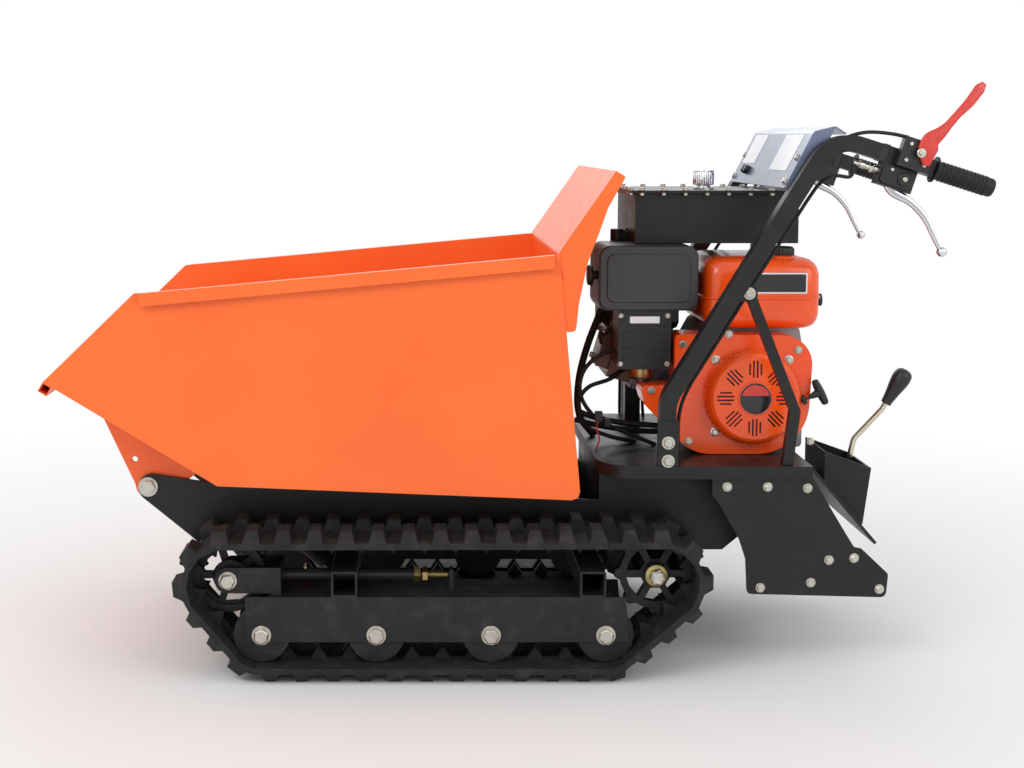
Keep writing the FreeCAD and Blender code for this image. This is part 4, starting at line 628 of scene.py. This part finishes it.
def bowed(shape, path, sizes, y):
    """A curved lever through (x, z) places, its width and thickness changing on the way."""
    points = smooth([(x, y, z) for x, z in path])
    last = len(points) - 1
    rings = []
    for i, point in enumerate(points):
        along = points[min(i + 1, last)] - points[max(i - 1, 0)]
        share = i / last * (len(sizes) - 1)
        k = min(int(share), len(sizes) - 2)
        width, thick = [a + (b - a) * (share - k) for a, b in zip(sizes[k], sizes[k + 1])]
        at = looking(point, along, LEFT)
        outline = rounded(width, thick, min(width, thick) * 0.45, 4)
        rings.append([at @ Vector((p, q, 0)) for p, q in outline])
    shape.skin(rings)


def steering_levers():
    """Curved chromed levers under the lever blocks, each with a ball at its end."""
    ball_radius = 10.4
    bands = 16
    path = [(-712, 954), (-724, 936), (-757, 917), (-785, 887), (-804, 851), (-816, 828)]
    sizes = [(22, 11), (19, 11), (15, 10), (13, 9), (12, 9), (11, 9)]
    angles = [math.pi * i / bands for i in range(bands + 1)]
    ball = [(ball_radius * math.sin(a), -ball_radius * math.cos(a)) for a in angles]
    shape = Shape()
    for side in SIDES:
        bowed(shape, path, sizes, side * BAR_MIDDLE)
        shape.turned((-820, side * BAR_MIDDLE, 821), UP, ball, 28)
    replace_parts(shape.made("hand_levers", "chrome", "chrome"), "steering_levers")


steering_levers()


def clutch_lever():
    """The slim bent lever at the left grip, broad round its pivot."""
    path = [
        (-877, 1144), (-868, 1133), (-849, 1107), (-829, 1086), (-811, 1065), (-796, 1050), (-779, 1036),
        (-774, 1020), (-772, 1006), (-772, 988),
    ]
    sizes = [
        (10, 5), (21, 7), (19, 8), (15, 8), (16, 9), (24, 10), (34, 10), (38, 10), (30, 10), (12, 8),
    ]
    shape = Shape()
    bowed(shape, path, sizes, 303)
    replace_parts(shape.made("clutch_grip", "red_plastic", "red_plastic"), "clutch_lever")


clutch_lever()


def gear_controls():
    """The gear lever's knob and the rubber boot round its foot."""
    along = Vector((-42, 0, 71)).normalized()
    profile = [
        (9.5, 0), (10.4, 1), (11, 8), (12.6, 20), (15, 34), (17.6, 47), (19, 58), (19, 66),
        (17.6, 73), (14, 78.6), (8, 81.6), (2, 82.4),
    ]
    knob = Shape()
    knob.turned((-777, 80, 491), along, profile, 36)
    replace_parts(knob.made("shift_knob", "black_plastic", "black_plastic"), "gear_knob")
    boot = Shape()
    folds = [(17, 0), (17, 3), (13, 6), (14, 9), (10, 12), (11, 15), (7.5, 19)]
    boot.turned((-693, 80, 289), Vector((-0.1, 0, 1)), folds, 28)
    boot.made("lever_boot", "soft_rubber", "grip_rubber")


gear_controls()


def ribbed(shape, place, axis, profile, ribs, depth):
    """A turned piece with ribs round it; a profile step is (radius, along, share of the ribs)."""
    at = looking(place, axis)
    rings = []
    for radius, along, share in profile:
        ring = []
        for i in range(ribs * 4):
            inner = radius - (depth * share if i % 4 in (0, 1) else 0)
            angle = 2 * math.pi * i / (ribs * 4)
            ring.append(at @ Vector((inner * math.cos(angle), inner * math.sin(angle), along)))
        rings.append(ring)
    shape.skin(rings)


def caps():
    """The chromed breather on the hydraulic tank and the filler cap of the fuel tank."""
    breather = Shape()
    breather.turned((-407, 0, LID_TOP), UP, [(21, 0), (21, 2.4), (15, 4.4), (14, 8.5)], 36)
    ribbed(breather, (-407, 0, LID_TOP + 8), UP, [
        (20, 0, 0), (22, 1.5, 1), (22, 25, 1), (20.6, 27, 0), (21.4, 28, 0), (21, 30.5, 0), (16, 31, 0),
    ], 26, 1.3)
    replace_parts(breather.made("breather", "chrome", "chrome"), "tank_cap")
    filler = Shape()
    ribbed(filler, (-553, 95, 800), UP, [
        (22, 0, 0), (24, 1, 1), (24, 14, 1), (22.6, 17, 0), (19, 19.6, 0), (6, 20, 0),
    ], 20, 1.6)
    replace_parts(filler.made("filler_cap", "black_plastic", "black_plastic"), "fuel_cap")


caps()

# Cables, hoses and wires


def control_cables():
    """The levers' cables, up from the perches, along the bars and down to the deck."""
    cable_radius = 3.6
    from_perch = [
        on_bar(148, -34, 262), (-640, 262, 967), (-612, 260, 968), (-588, 250, 956), (-570, 240, 930),
        (-528, 238, 862), (-471, 236, 770), (-393, 236, 640), (-340, 234, 552), (-322, 232, 500),
        (-320, 230, 440), (-322, 228, 404),
    ]
    from_clutch = [
        (-741, 288, 1042), (-709, 284, 1049), (-668, 276, 1052), (-634, 268, 1044), (-603, 256, 1024),
        (-580, 246, 1000), (-562, 240, 968), (-540, 230, 930), (-520, 226, 868), (-463, 226, 776),
        (-386, 224, 646), (-334, 222, 556), (-312, 220, 500), (-308, 218, 404),
    ]
    shape = Shape()
    for side in SIDES:
        route = [at_y(place, place[1] * side) for place in smooth(from_perch)]
        shape.tube(route, cable_radius, 12)
    shape.tube(smooth(from_clutch), cable_radius, 12)
    shape.made("control_cables", "soft_rubber", "grip_rubber")


control_cables()


def hanging_hoses():
    """Hoses, cables and a wire that loop in the gap between the engine and the skip."""
    loops = [
        # radius, points
        (4.4, [
            (-236, 60, 560), (-205, 66, 540), (-160, 72, 524), (-140, 76, 492), (-152, 74, 446),
            (-205, 66, 420), (-262, 50, 405),
        ]),
        (4.4, [
            (-232, 92, 610), (-182, 96, 596), (-146, 98, 560), (-142, 96, 510), (-176, 92, 462),
            (-240, 86, 430), (-300, 80, 405),
        ]),
        (7.5, [
            (-226, 0, 806), (-222, -2, 770), (-200, -8, 690), (-168, -16, 600), (-150, -20, 520),
            (-152, -20, 450), (-184, -16, 404),
        ]),
        (6.0, [(-140, 40, 470), (-170, 44, 458), (-230, 50, 446), (-300, 52, 440), (-352, 50, 436)]),
        (6.0, [(-138, 26, 448), (-175, 28, 438), (-240, 34, 428), (-310, 36, 424), (-362, 36, 430)]),
    ]
    shape = Shape()
    for radius, points in loops:
        shape.tube(smooth(points), radius, 12)
    shape.made("hanging_hoses", "soft_rubber", "grip_rubber")
    wire = Shape()
    wire.tube(smooth([(-176, 120, 470), (-172, 122, 448), (-178, 122, 426), (-172, 120, 404)]), 1.7, 8)
    wire.made("red_wire", "red_plastic", "red_plastic")
    plugs = Shape()
    plugs.slab(looking((-176, 118, 472), LEFT), rounded(16, 22, 3), 8, 1)
    plugs.slab(looking((-196, 112, 458), LEFT), rounded(14, 18, 3), 8, 1)
    plugs.made("wire_plugs", "black_plastic", "black_plastic")


hanging_hoses()

# Hydraulic tank and console


def tank_fasteners():
    """Bolts round the tank's lid and their nuts under its rim."""
    step = 44
    rim_bottom = 924.6
    spots = []
    for i in range(8):
        spots += [(-568 + i * step, 116.5), (-568 + i * step, -156.5)]
    for i in range(6):
        spots += [(-241.5, -130 + i * step), (-587.5, -130 + i * step)]
    rows, nuts = [], Shape()
    for x, y in spots:
        rows.append(((x, y, LID_TOP), UP, 5.6, 3.8, 6.6))
        nuts.turned((x, y, rim_bottom), UP, [(5.4, 0), (6.2, 1), (6.2, 5.4)], 6)
    bolts("lid_bolts", rows)
    nuts.made("lid_nuts", "zinc", "bare_steel")


tank_fasteners()


def tank_fitting():
    """The union on the tank's front face with its elbow down."""
    union = [(17, 0), (17, 4), (13, 5), (13, 12), (15, 13), (15, 24), (12, 25)]
    elbow = [(13, 0), (14, 3), (14, 26), (11, 28), (9, 30), (9, 50)]
    shape = Shape()
    shape.turned((-248, 0, 835), FORWARD, union, 6, 0.5)
    shape.turned((-226, 0, 850), -UP, elbow, 20)
    shape.made("tank_fitting", "black_paint", "black_paint")


tank_fitting()

CONSOLE_FOOT = Vector((-516, 0, 944))
CONSOLE_OUT = Vector((0.8912, 0, 0.4537))
CONSOLE_UP = Vector((-0.4537, 0, 0.8912))


def on_console(y, height):
    """A place on the console's front: y across the machine, height up from its lower edge."""
    lift = 0.1
    return at_y(CONSOLE_FOOT + CONSOLE_UP * height + CONSOLE_OUT * lift, y)


def console_details():
    """Two blank labels, bolts and two dark knobs on the console."""
    labels = Shape()
    for y, height, width, tall in ((-162, 82, 116, 70), (122, 76, 140, 80)):
        labels.slab(looking(on_console(y, height), CONSOLE_OUT), rounded(width, tall, 3), 0.8, 0.2)
    labels.made("console_labels", "white_label", "bare_steel")
    knobs = Shape()
    for y in (-150, -126):
        ribbed(knobs, on_console(y, 31), CONSOLE_OUT, [
            (9, 0, 0), (9.6, 1, 1), (8.8, 9, 1), (7.6, 10.4, 0), (2, 10.8, 0),
        ], 12, 0.9)
    knobs.made("console_knobs", "black_plastic", "black_plastic")
    rows = []
    for y in (-228, 228):
        for height in (14, 66):
            rows.append((on_console(y, height), CONSOLE_OUT, 6.0, 4, 7.6))
    bolts("console_bolts", rows)


console_details()

# Engine


def fuel_tank():
    """The fuel tank, rounded all round, with a seam flange and a collar under its cap."""
    middle = Vector((-503.5, 15, 0))
    width, depth, corner = 237, 270, 34
    steps = [
        # height, inset
        (655, 22), (658, 14), (664, 7), (674, 2), (686, 0), (716, 0), (764, 0), (778, 3), (788, 9),
        (795, 18), (799, 32), (800, 52),
    ]
    rings = []
    for height, inset in steps:
        outline = rounded(width - 2 * inset, depth - 2 * inset, max(corner - inset * 0.5, 8), 8)
        rings.append([middle + Vector((x, y, height)) for x, y in outline])
    shape = Shape()
    shape.skin(rings)
    flange = []
    for height, grow in ((716, 2.0), (717, 3.0), (720, 3.0), (721, 2.0)):
        outline = rounded(width + 2 * grow, depth + 2 * grow, corner + 1, 8)
        flange.append([middle + Vector((x, y, height)) for x, y in outline])
    shape.skin(flange)
    shape.turned((-553, 95, 796), UP, [(31, 0), (31, 3), (27, 5.5), (25, 6)], 36)
    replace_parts(shape.made("fuel_tank_shell", "engine_paint", "engine_orange"), "fuel_tank")


fuel_tank()


def fuel_tank_trim():
    """A blank dark label with a white border on the fuel tank, and its tap."""
    tank_side = 150
    border = 0.7
    edge = Shape()
    edge.slab(looking((-530, tank_side, 749), LEFT), rounded(122, 42, 2), border, 0.1)
    edge.made("tank_label_edge", "white_label", "bare_steel")
    face = Shape()
    face.slab(looking((-530, tank_side + border, 749), LEFT), rounded(116, 36, 1.5), 0.5, 0.1)
    face.made("tank_label", "dark_label", "black_plastic")
    tap = Shape()
    tap.turned((-645, 60, 706), FORWARD, [(8, 0), (13, 1.5), (13, 9), (10, 10), (6, 11), (6, 24)], 24)
    tap.made("fuel_tap", "black_plastic", "black_plastic")


fuel_tank_trim()


def starter_face():
    """Painted shade: dark sheets on the floors of the starter's slots and as its outer ring of slots; also
    its blank badge and screws.
    """
    slot_pitch = 7.5
    slot_floor = 197.1
    badge_face = 205
    outer_slots, outer_radius = 56, 92.7
    dark, trim, badge, half = Shape(), Shape(), Shape(), Shape()

    def spoke(angle):
        return Vector((math.sin(angle), 0, math.cos(angle)))

    # The dark sheets on the slots' floors are painted shade.
    for turn in range(8):
        out = spoke(-math.pi / 4 * turn)
        beside = Vector((out.z, 0, -out.x))
        for step, inner, outer in ((-1.5, 47, 70), (-0.5, 42, 76), (0.5, 42, 76), (1.5, 47, 70)):
            middle = ENGINE_SHAFT + out * ((inner + outer) / 2) + beside * step * slot_pitch
            at = looking(middle + LEFT * slot_floor, LEFT, out)
            dark.slab(at, rounded(3.3, outer - inner - 0.2, 0.5, 2), 0.4)
    # The outer ring of slots is drawn as dark sheets on the face: painted shade.
    for i in range(outer_slots):
        if i % 14 in (0, 13):
            continue
        out = spoke(2 * math.pi * i / outer_slots)
        middle = ENGINE_SHAFT + out * outer_radius + LEFT * 188.3
        dark.slab(looking(middle, LEFT * 0.8 + out * 0.6, out), rounded(3.0, 9.0, 0.8, 2), 0.5)
    for i in range(4):
        place = ENGINE_SHAFT + spoke(math.pi / 4 + math.pi / 2 * i) * 104 + LEFT * 169.6
        trim.turned(place, LEFT, [(9, 0), (9, 1.5), (7.6, 2)], 20)
        hexagon(trim, place + LEFT * 2, LEFT, 6.4, 5)
    badge.turned(ENGINE_SHAFT + LEFT * badge_face, LEFT, [(31, 0), (31, 1.0), (30, 1.6)], 48)
    badge.made("starter_badge", "dark_label", "black_plastic")
    angles = [math.radians(12 + 6 * i) for i in range(27)]
    upper = [(28 * math.cos(a), 28 * math.sin(a)) for a in angles]
    half.slab(looking(ENGINE_SHAFT + LEFT * (badge_face + 1.4), LEFT), upper, 0.8, 0.2)
    half.made("badge_half", "red_plastic", "red_plastic")
    trim.made("starter_screws", "zinc", "bare_steel")
    # The dark sheets of both rings of slots are painted shade.
    dark.made("slot_painted_shade", "black_plastic", "black_plastic")


starter_face()


def pull_handle():
    """The starter's T-handle with its rope and guide."""
    along = Vector((0.45, 0, 0.89)).normalized()
    out = Vector((-0.89, 0, 0.45)).normalized()
    middle = Vector((-612, 184, 533))
    sections = (
        # reach, width, depth
        (-27, 8, 9), (-25, 13, 15), (-14, 16, 18), (0, 17, 20), (14, 16, 18), (25, 13, 15), (27, 8, 9),
    )
    rings = []
    for reach, width, depth in sections:
        at = looking(middle + along * reach, along, LEFT)
        rings.append([at @ Vector((x, y, 0)) for x, y in rounded(width, depth, min(width, depth) * 0.45, 4)])
    shape = Shape()
    shape.skin(rings)
    shape.turned(middle, -out, [(9, 4), (7, 12), (5, 20), (4, 24)], 20)
    shape.tube([middle - out * 20, middle - out * 36, (-576, 180, 512)], 2.4, 10)
    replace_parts(shape.made("pull_handle", "black_plastic", "black_plastic"), "starter_grip")
    guide = Shape()
    guide.turned((-580, 181, 517), out, [(10, -4), (10, 3), (6.5, 5), (4, 5)], 24)
    guide.made("rope_guide", "black_plastic", "black_plastic")


pull_handle()


def filter_cover():
    """The air cleaner's cover with its raised face, in a grey lighter than the black plastic: a painted
    sheen.
    """
    cover = Shape()
    at = looking((-268, 165, 760.5), LEFT)
    cover.slab(at, rounded(196, 127, 22, 8), 3.2, 1.4)
    cover.slab(at, rounded(168, 98, 16, 8), 2.6, 2.0, 3.2)
    # The cover's lighter grey is a painted sheen.
    cover.made("filter_cover", "sheen_painted_filter_plastic", "black_plastic")


filter_cover()


def shroud_details():
    """The air cleaner's knob, the shroud's ribs, screws and blank plate, and the float bowl."""
    shroud_x = -262
    shroud_face = 160
    dark = Shape()
    knob = [(9, 0), (9, 5), (20, 7), (21, 9), (21, 16), (18, 18)]
    dark.turned((-168, 120, 763), FORWARD, knob, 28)
    for z in (650, 634, 618, 602):
        dark.slab(looking((shroud_x, shroud_face, z), LEFT), rounded(86, 5.5, 2.4, 3), 2.4, 1)
    dark.slab(looking((shroud_x, shroud_face, 676), LEFT), rounded(92, 24, 4), 1.6, 0.6)
    dark.slab(looking((-324, 130, 690), LEFT), rounded(16, 44, 4), 10, 1.4)
    dark.made("shroud_ribs", "black_plastic", "black_plastic")
    rows = []
    for x, z in ((-214, 684), (-308, 684), (-214, 586), (-308, 586)):
        rows.append(((x, shroud_face, z), LEFT, 4.6, 3, 5.4))
    bolts("shroud_screws", rows)
    bowl = Shape()
    profile = [(22, 0), (22.4, 2), (21.6, 20), (17, 26.5), (6, 27.5), (6, 31)]
    bowl.turned((shroud_x, 118, 576), -UP, profile, 32)
    bowl.made("float_bowl", "yellow_zinc", "cast_alloy")
    plate = Shape()
    plate.slab(looking((shroud_x, shroud_face + 1.6, 676), LEFT), rounded(60, 14, 2), 0.5, 0.1)
    plate.made("shroud_plate", "white_label", "bare_steel")


shroud_details()


def housing_bolts():
    """Bolts on the fan housing's face and at the engine's feet."""
    housing_face = 170
    rows = []
    for x, z in ((-338, 628), (-276, 534), (-570, 616), (-598, 430), (-352, 430), (-430, 648)):
        rows.append(((x, housing_face, z), LEFT, 6.4, 4.5, 8))
    for x in (-545, -398):
        for y in (78, -92):
            rows.append(((x, y, DECK_TOP + 0.2), UP, 8, 6, 11))
    bolts("housing_bolts", rows)


housing_bolts()


def cylinder_head_details():
    """The ignition lead with its cap, and the bolts of the valve cover."""
    lead = Shape()
    route = [(-338, 40, 640), (-300, 60, 662), (-250, 66, 664), (-212, 56, 650), (-196, 40, 624)]
    lead.tube(smooth(route), 4, 12)
    lead.turned((-196, 38, 612), Vector((0.3, 0, 1)), [(8.5, 0), (8.5, 14), (6, 20), (4.4, 26)], 20)
    lead.made("ignition_lead", "black_plastic", "black_plastic")
    cover_reach = 300
    rows = []
    for y in (-34, 34):
        for rise in (-30, 30):
            place = ENGINE_SHAFT + LEFT * y + CYLINDER_ALONG * cover_reach + CYLINDER_ACROSS * rise
            rows.append((place, CYLINDER_ALONG, 6.4, 5, 8))
    bolts("cover_bolts", rows)


cylinder_head_details()


def cylinder_fins():
    """Cooling fins round the leaning cylinder, where the housing leaves it open."""
    first_fin, fin_step, fin_thickness = 154, 8, 2.4
    outline = rounded(138, 132, 12, 4)
    shape = Shape()
    for i in range(9):
        middle = ENGINE_SHAFT + CYLINDER_ALONG * (first_fin + i * fin_step)
        rings = []
        for shift in (0, fin_thickness):
            at = looking(middle + CYLINDER_ALONG * shift, CYLINDER_ALONG, CYLINDER_ACROSS)
            rings.append([at @ Vector((x, y, 0)) for x, y in outline])
        shape.skin(rings)
    shape.made("cylinder_fins", "cast_alloy", "cast_alloy")


cylinder_fins()


def silencer_details():
    """The silencer's guard with its screws, and dark sheets on its face as painted shade for its slots."""
    guard_seat = -191
    guard_face = guard_seat - 4
    guard, dark = Shape(), Shape()
    guard.slab(looking((-292.5, guard_seat, 692), RIGHT), rounded(168, 132, 18, 6), 4, 1.6)
    # Dark sheets on the guard's face stand for its slots: painted shade.
    for i in range(6):
        for z in (662, 722):
            at = looking((-352 + i * 24, guard_face, z), RIGHT)
            dark.slab(at, rounded(9, 40, 4.4, 4), 0.5, 0.2)
    guard.made("silencer_guard", "heat_paint", "engine_black")
    # The slots' painted shade.
    dark.made("guard_slot_painted_shade", "black_plastic", "black_plastic")
    rows = []
    for x in (-366, -219):
        for z in (634, 750):
            rows.append(((x, guard_face, z), RIGHT, 5.4, 4, 7))
    bolts("guard_screws", rows)


silencer_details()

# Skip


def skip_welds():
    """Weld beads down the rear end of each of the skip's rims."""
    beads = 14
    shape = Shape()
    for side in SIDES:
        for i in range(beads):
            share = i / (beads - 1)
            place = Vector((-74 - 8 * share, side * 321.5, 819 - 44 * share))
            shape.turned(place, UP, [(1.4, -2.6), (2.4, -1.2), (2.4, 1.2), (1.4, 2.6)], 10)
    shape.made("skip_welds", "skip_paint", "orange_paint", "tipping_skip")


skip_welds()


# Camera, light and floor


def camera():
    data = bpy.data.cameras.new("camera")
    data.lens = 52.2416
    data.shift_x = 0.0964
    data.shift_y = -0.12
    data.clip_end = 200
    thing = bpy.data.objects.new("camera", data)
    thing.location = (0.20421, 3.13448, 1.03592)
    thing.rotation_euler = (math.radians(90 - 4.639), 0, math.radians(180))
    bpy.context.scene.collection.objects.link(thing)
    bpy.context.scene.camera = thing


def lamp(name, place, target, size, power):
    data = bpy.data.lights.new(name, "AREA")
    data.shape = "RECTANGLE"
    data.size, data.size_y = size
    data.energy = power
    thing = bpy.data.objects.new(name, data)
    thing.location = place
    aim = Vector(target) - Vector(place)
    thing.rotation_euler = aim.to_track_quat("-Z", "Y").to_euler()
    bpy.context.scene.collection.objects.link(thing)


def world():
    """White to the camera and in reflections, a softer white as light."""
    made = bpy.data.worlds.new("studio")
    made.use_nodes = True
    tree = made.node_tree
    tree.nodes.clear()
    path = tree.nodes.new("ShaderNodeLightPath")
    seen = path.outputs["Is Camera Ray"]
    for ray in ("Is Glossy Ray", "Is Transmission Ray"):
        either = tree.nodes.new("ShaderNodeMath")
        either.operation = "MAXIMUM"
        tree.links.new(seen, either.inputs[0])
        tree.links.new(path.outputs[ray], either.inputs[1])
        seen = either.outputs[0]
    strength = tree.nodes.new("ShaderNodeMapRange")
    strength.inputs["To Min"].default_value = 0.72
    strength.inputs["To Max"].default_value = 1.0
    tree.links.new(seen, strength.inputs["Value"])
    back = tree.nodes.new("ShaderNodeBackground")
    back.inputs["Color"].default_value = (1, 1, 1, 1)
    tree.links.new(strength.outputs[0], back.inputs["Strength"])
    output = tree.nodes.new("ShaderNodeOutputWorld")
    tree.links.new(back.outputs[0], output.inputs["Surface"])
    bpy.context.scene.world = made


def floor():
    """A pale floor that keeps the shadow near the machine and fades to white further out."""
    mesh = bpy.data.meshes.new("floor")
    reach = 60
    corners = [(-reach, -reach, 0), (reach, -reach, 0), (reach, reach, 0), (-reach, reach, 0)]
    mesh.from_pydata(corners, [], [(0, 1, 2, 3)])
    thing = bpy.data.objects.new("floor", mesh)
    thing.location.z = -0.0005
    bpy.context.scene.collection.objects.link(thing)
    n = Nodes("floor")
    far = n.add("ShaderNodeVectorMath", operation="LENGTH")
    n.link(n.where.outputs["Position"], far.inputs[0])
    fade = n.ranged(far.outputs["Value"], 1.1, 2.6)
    path = n.add("ShaderNodeLightPath")
    share = n.maths("MULTIPLY", fade, path.outputs["Is Camera Ray"])
    paint = n.add("ShaderNodeBsdfDiffuse")
    speckle = n.mixed(n.noise(300.0), (0.90, 0.90, 0.90, 1), (0.93, 0.93, 0.93, 1))
    n.link(speckle, paint.inputs["Color"])
    glow = n.add("ShaderNodeEmission")
    glow.inputs["Color"].default_value = (1, 1, 1, 1)
    mix = n.add("ShaderNodeMixShader")
    n.link(share, mix.inputs[0])
    n.link(paint.outputs[0], mix.inputs[1])
    n.link(glow.outputs[0], mix.inputs[2])
    output = n.add("ShaderNodeOutputMaterial")
    n.link(mix.outputs[0], output.inputs["Surface"])
    mesh.materials.append(n.material)


camera()
world()
floor()
lamp("key", (2.2, 3.0, 3.2), (0, 0, 0.5), (2.4, 1.8), 55)
lamp("fill", (-2.6, 2.6, 2.0), (-0.2, 0, 0.5), (2.0, 2.0), 26)
lamp("back", (0, -3.2, 2.6), (0, 0, 0.5), (3.0, 1.6), 30)
bpy.context.scene.view_settings.view_transform = "Standard"
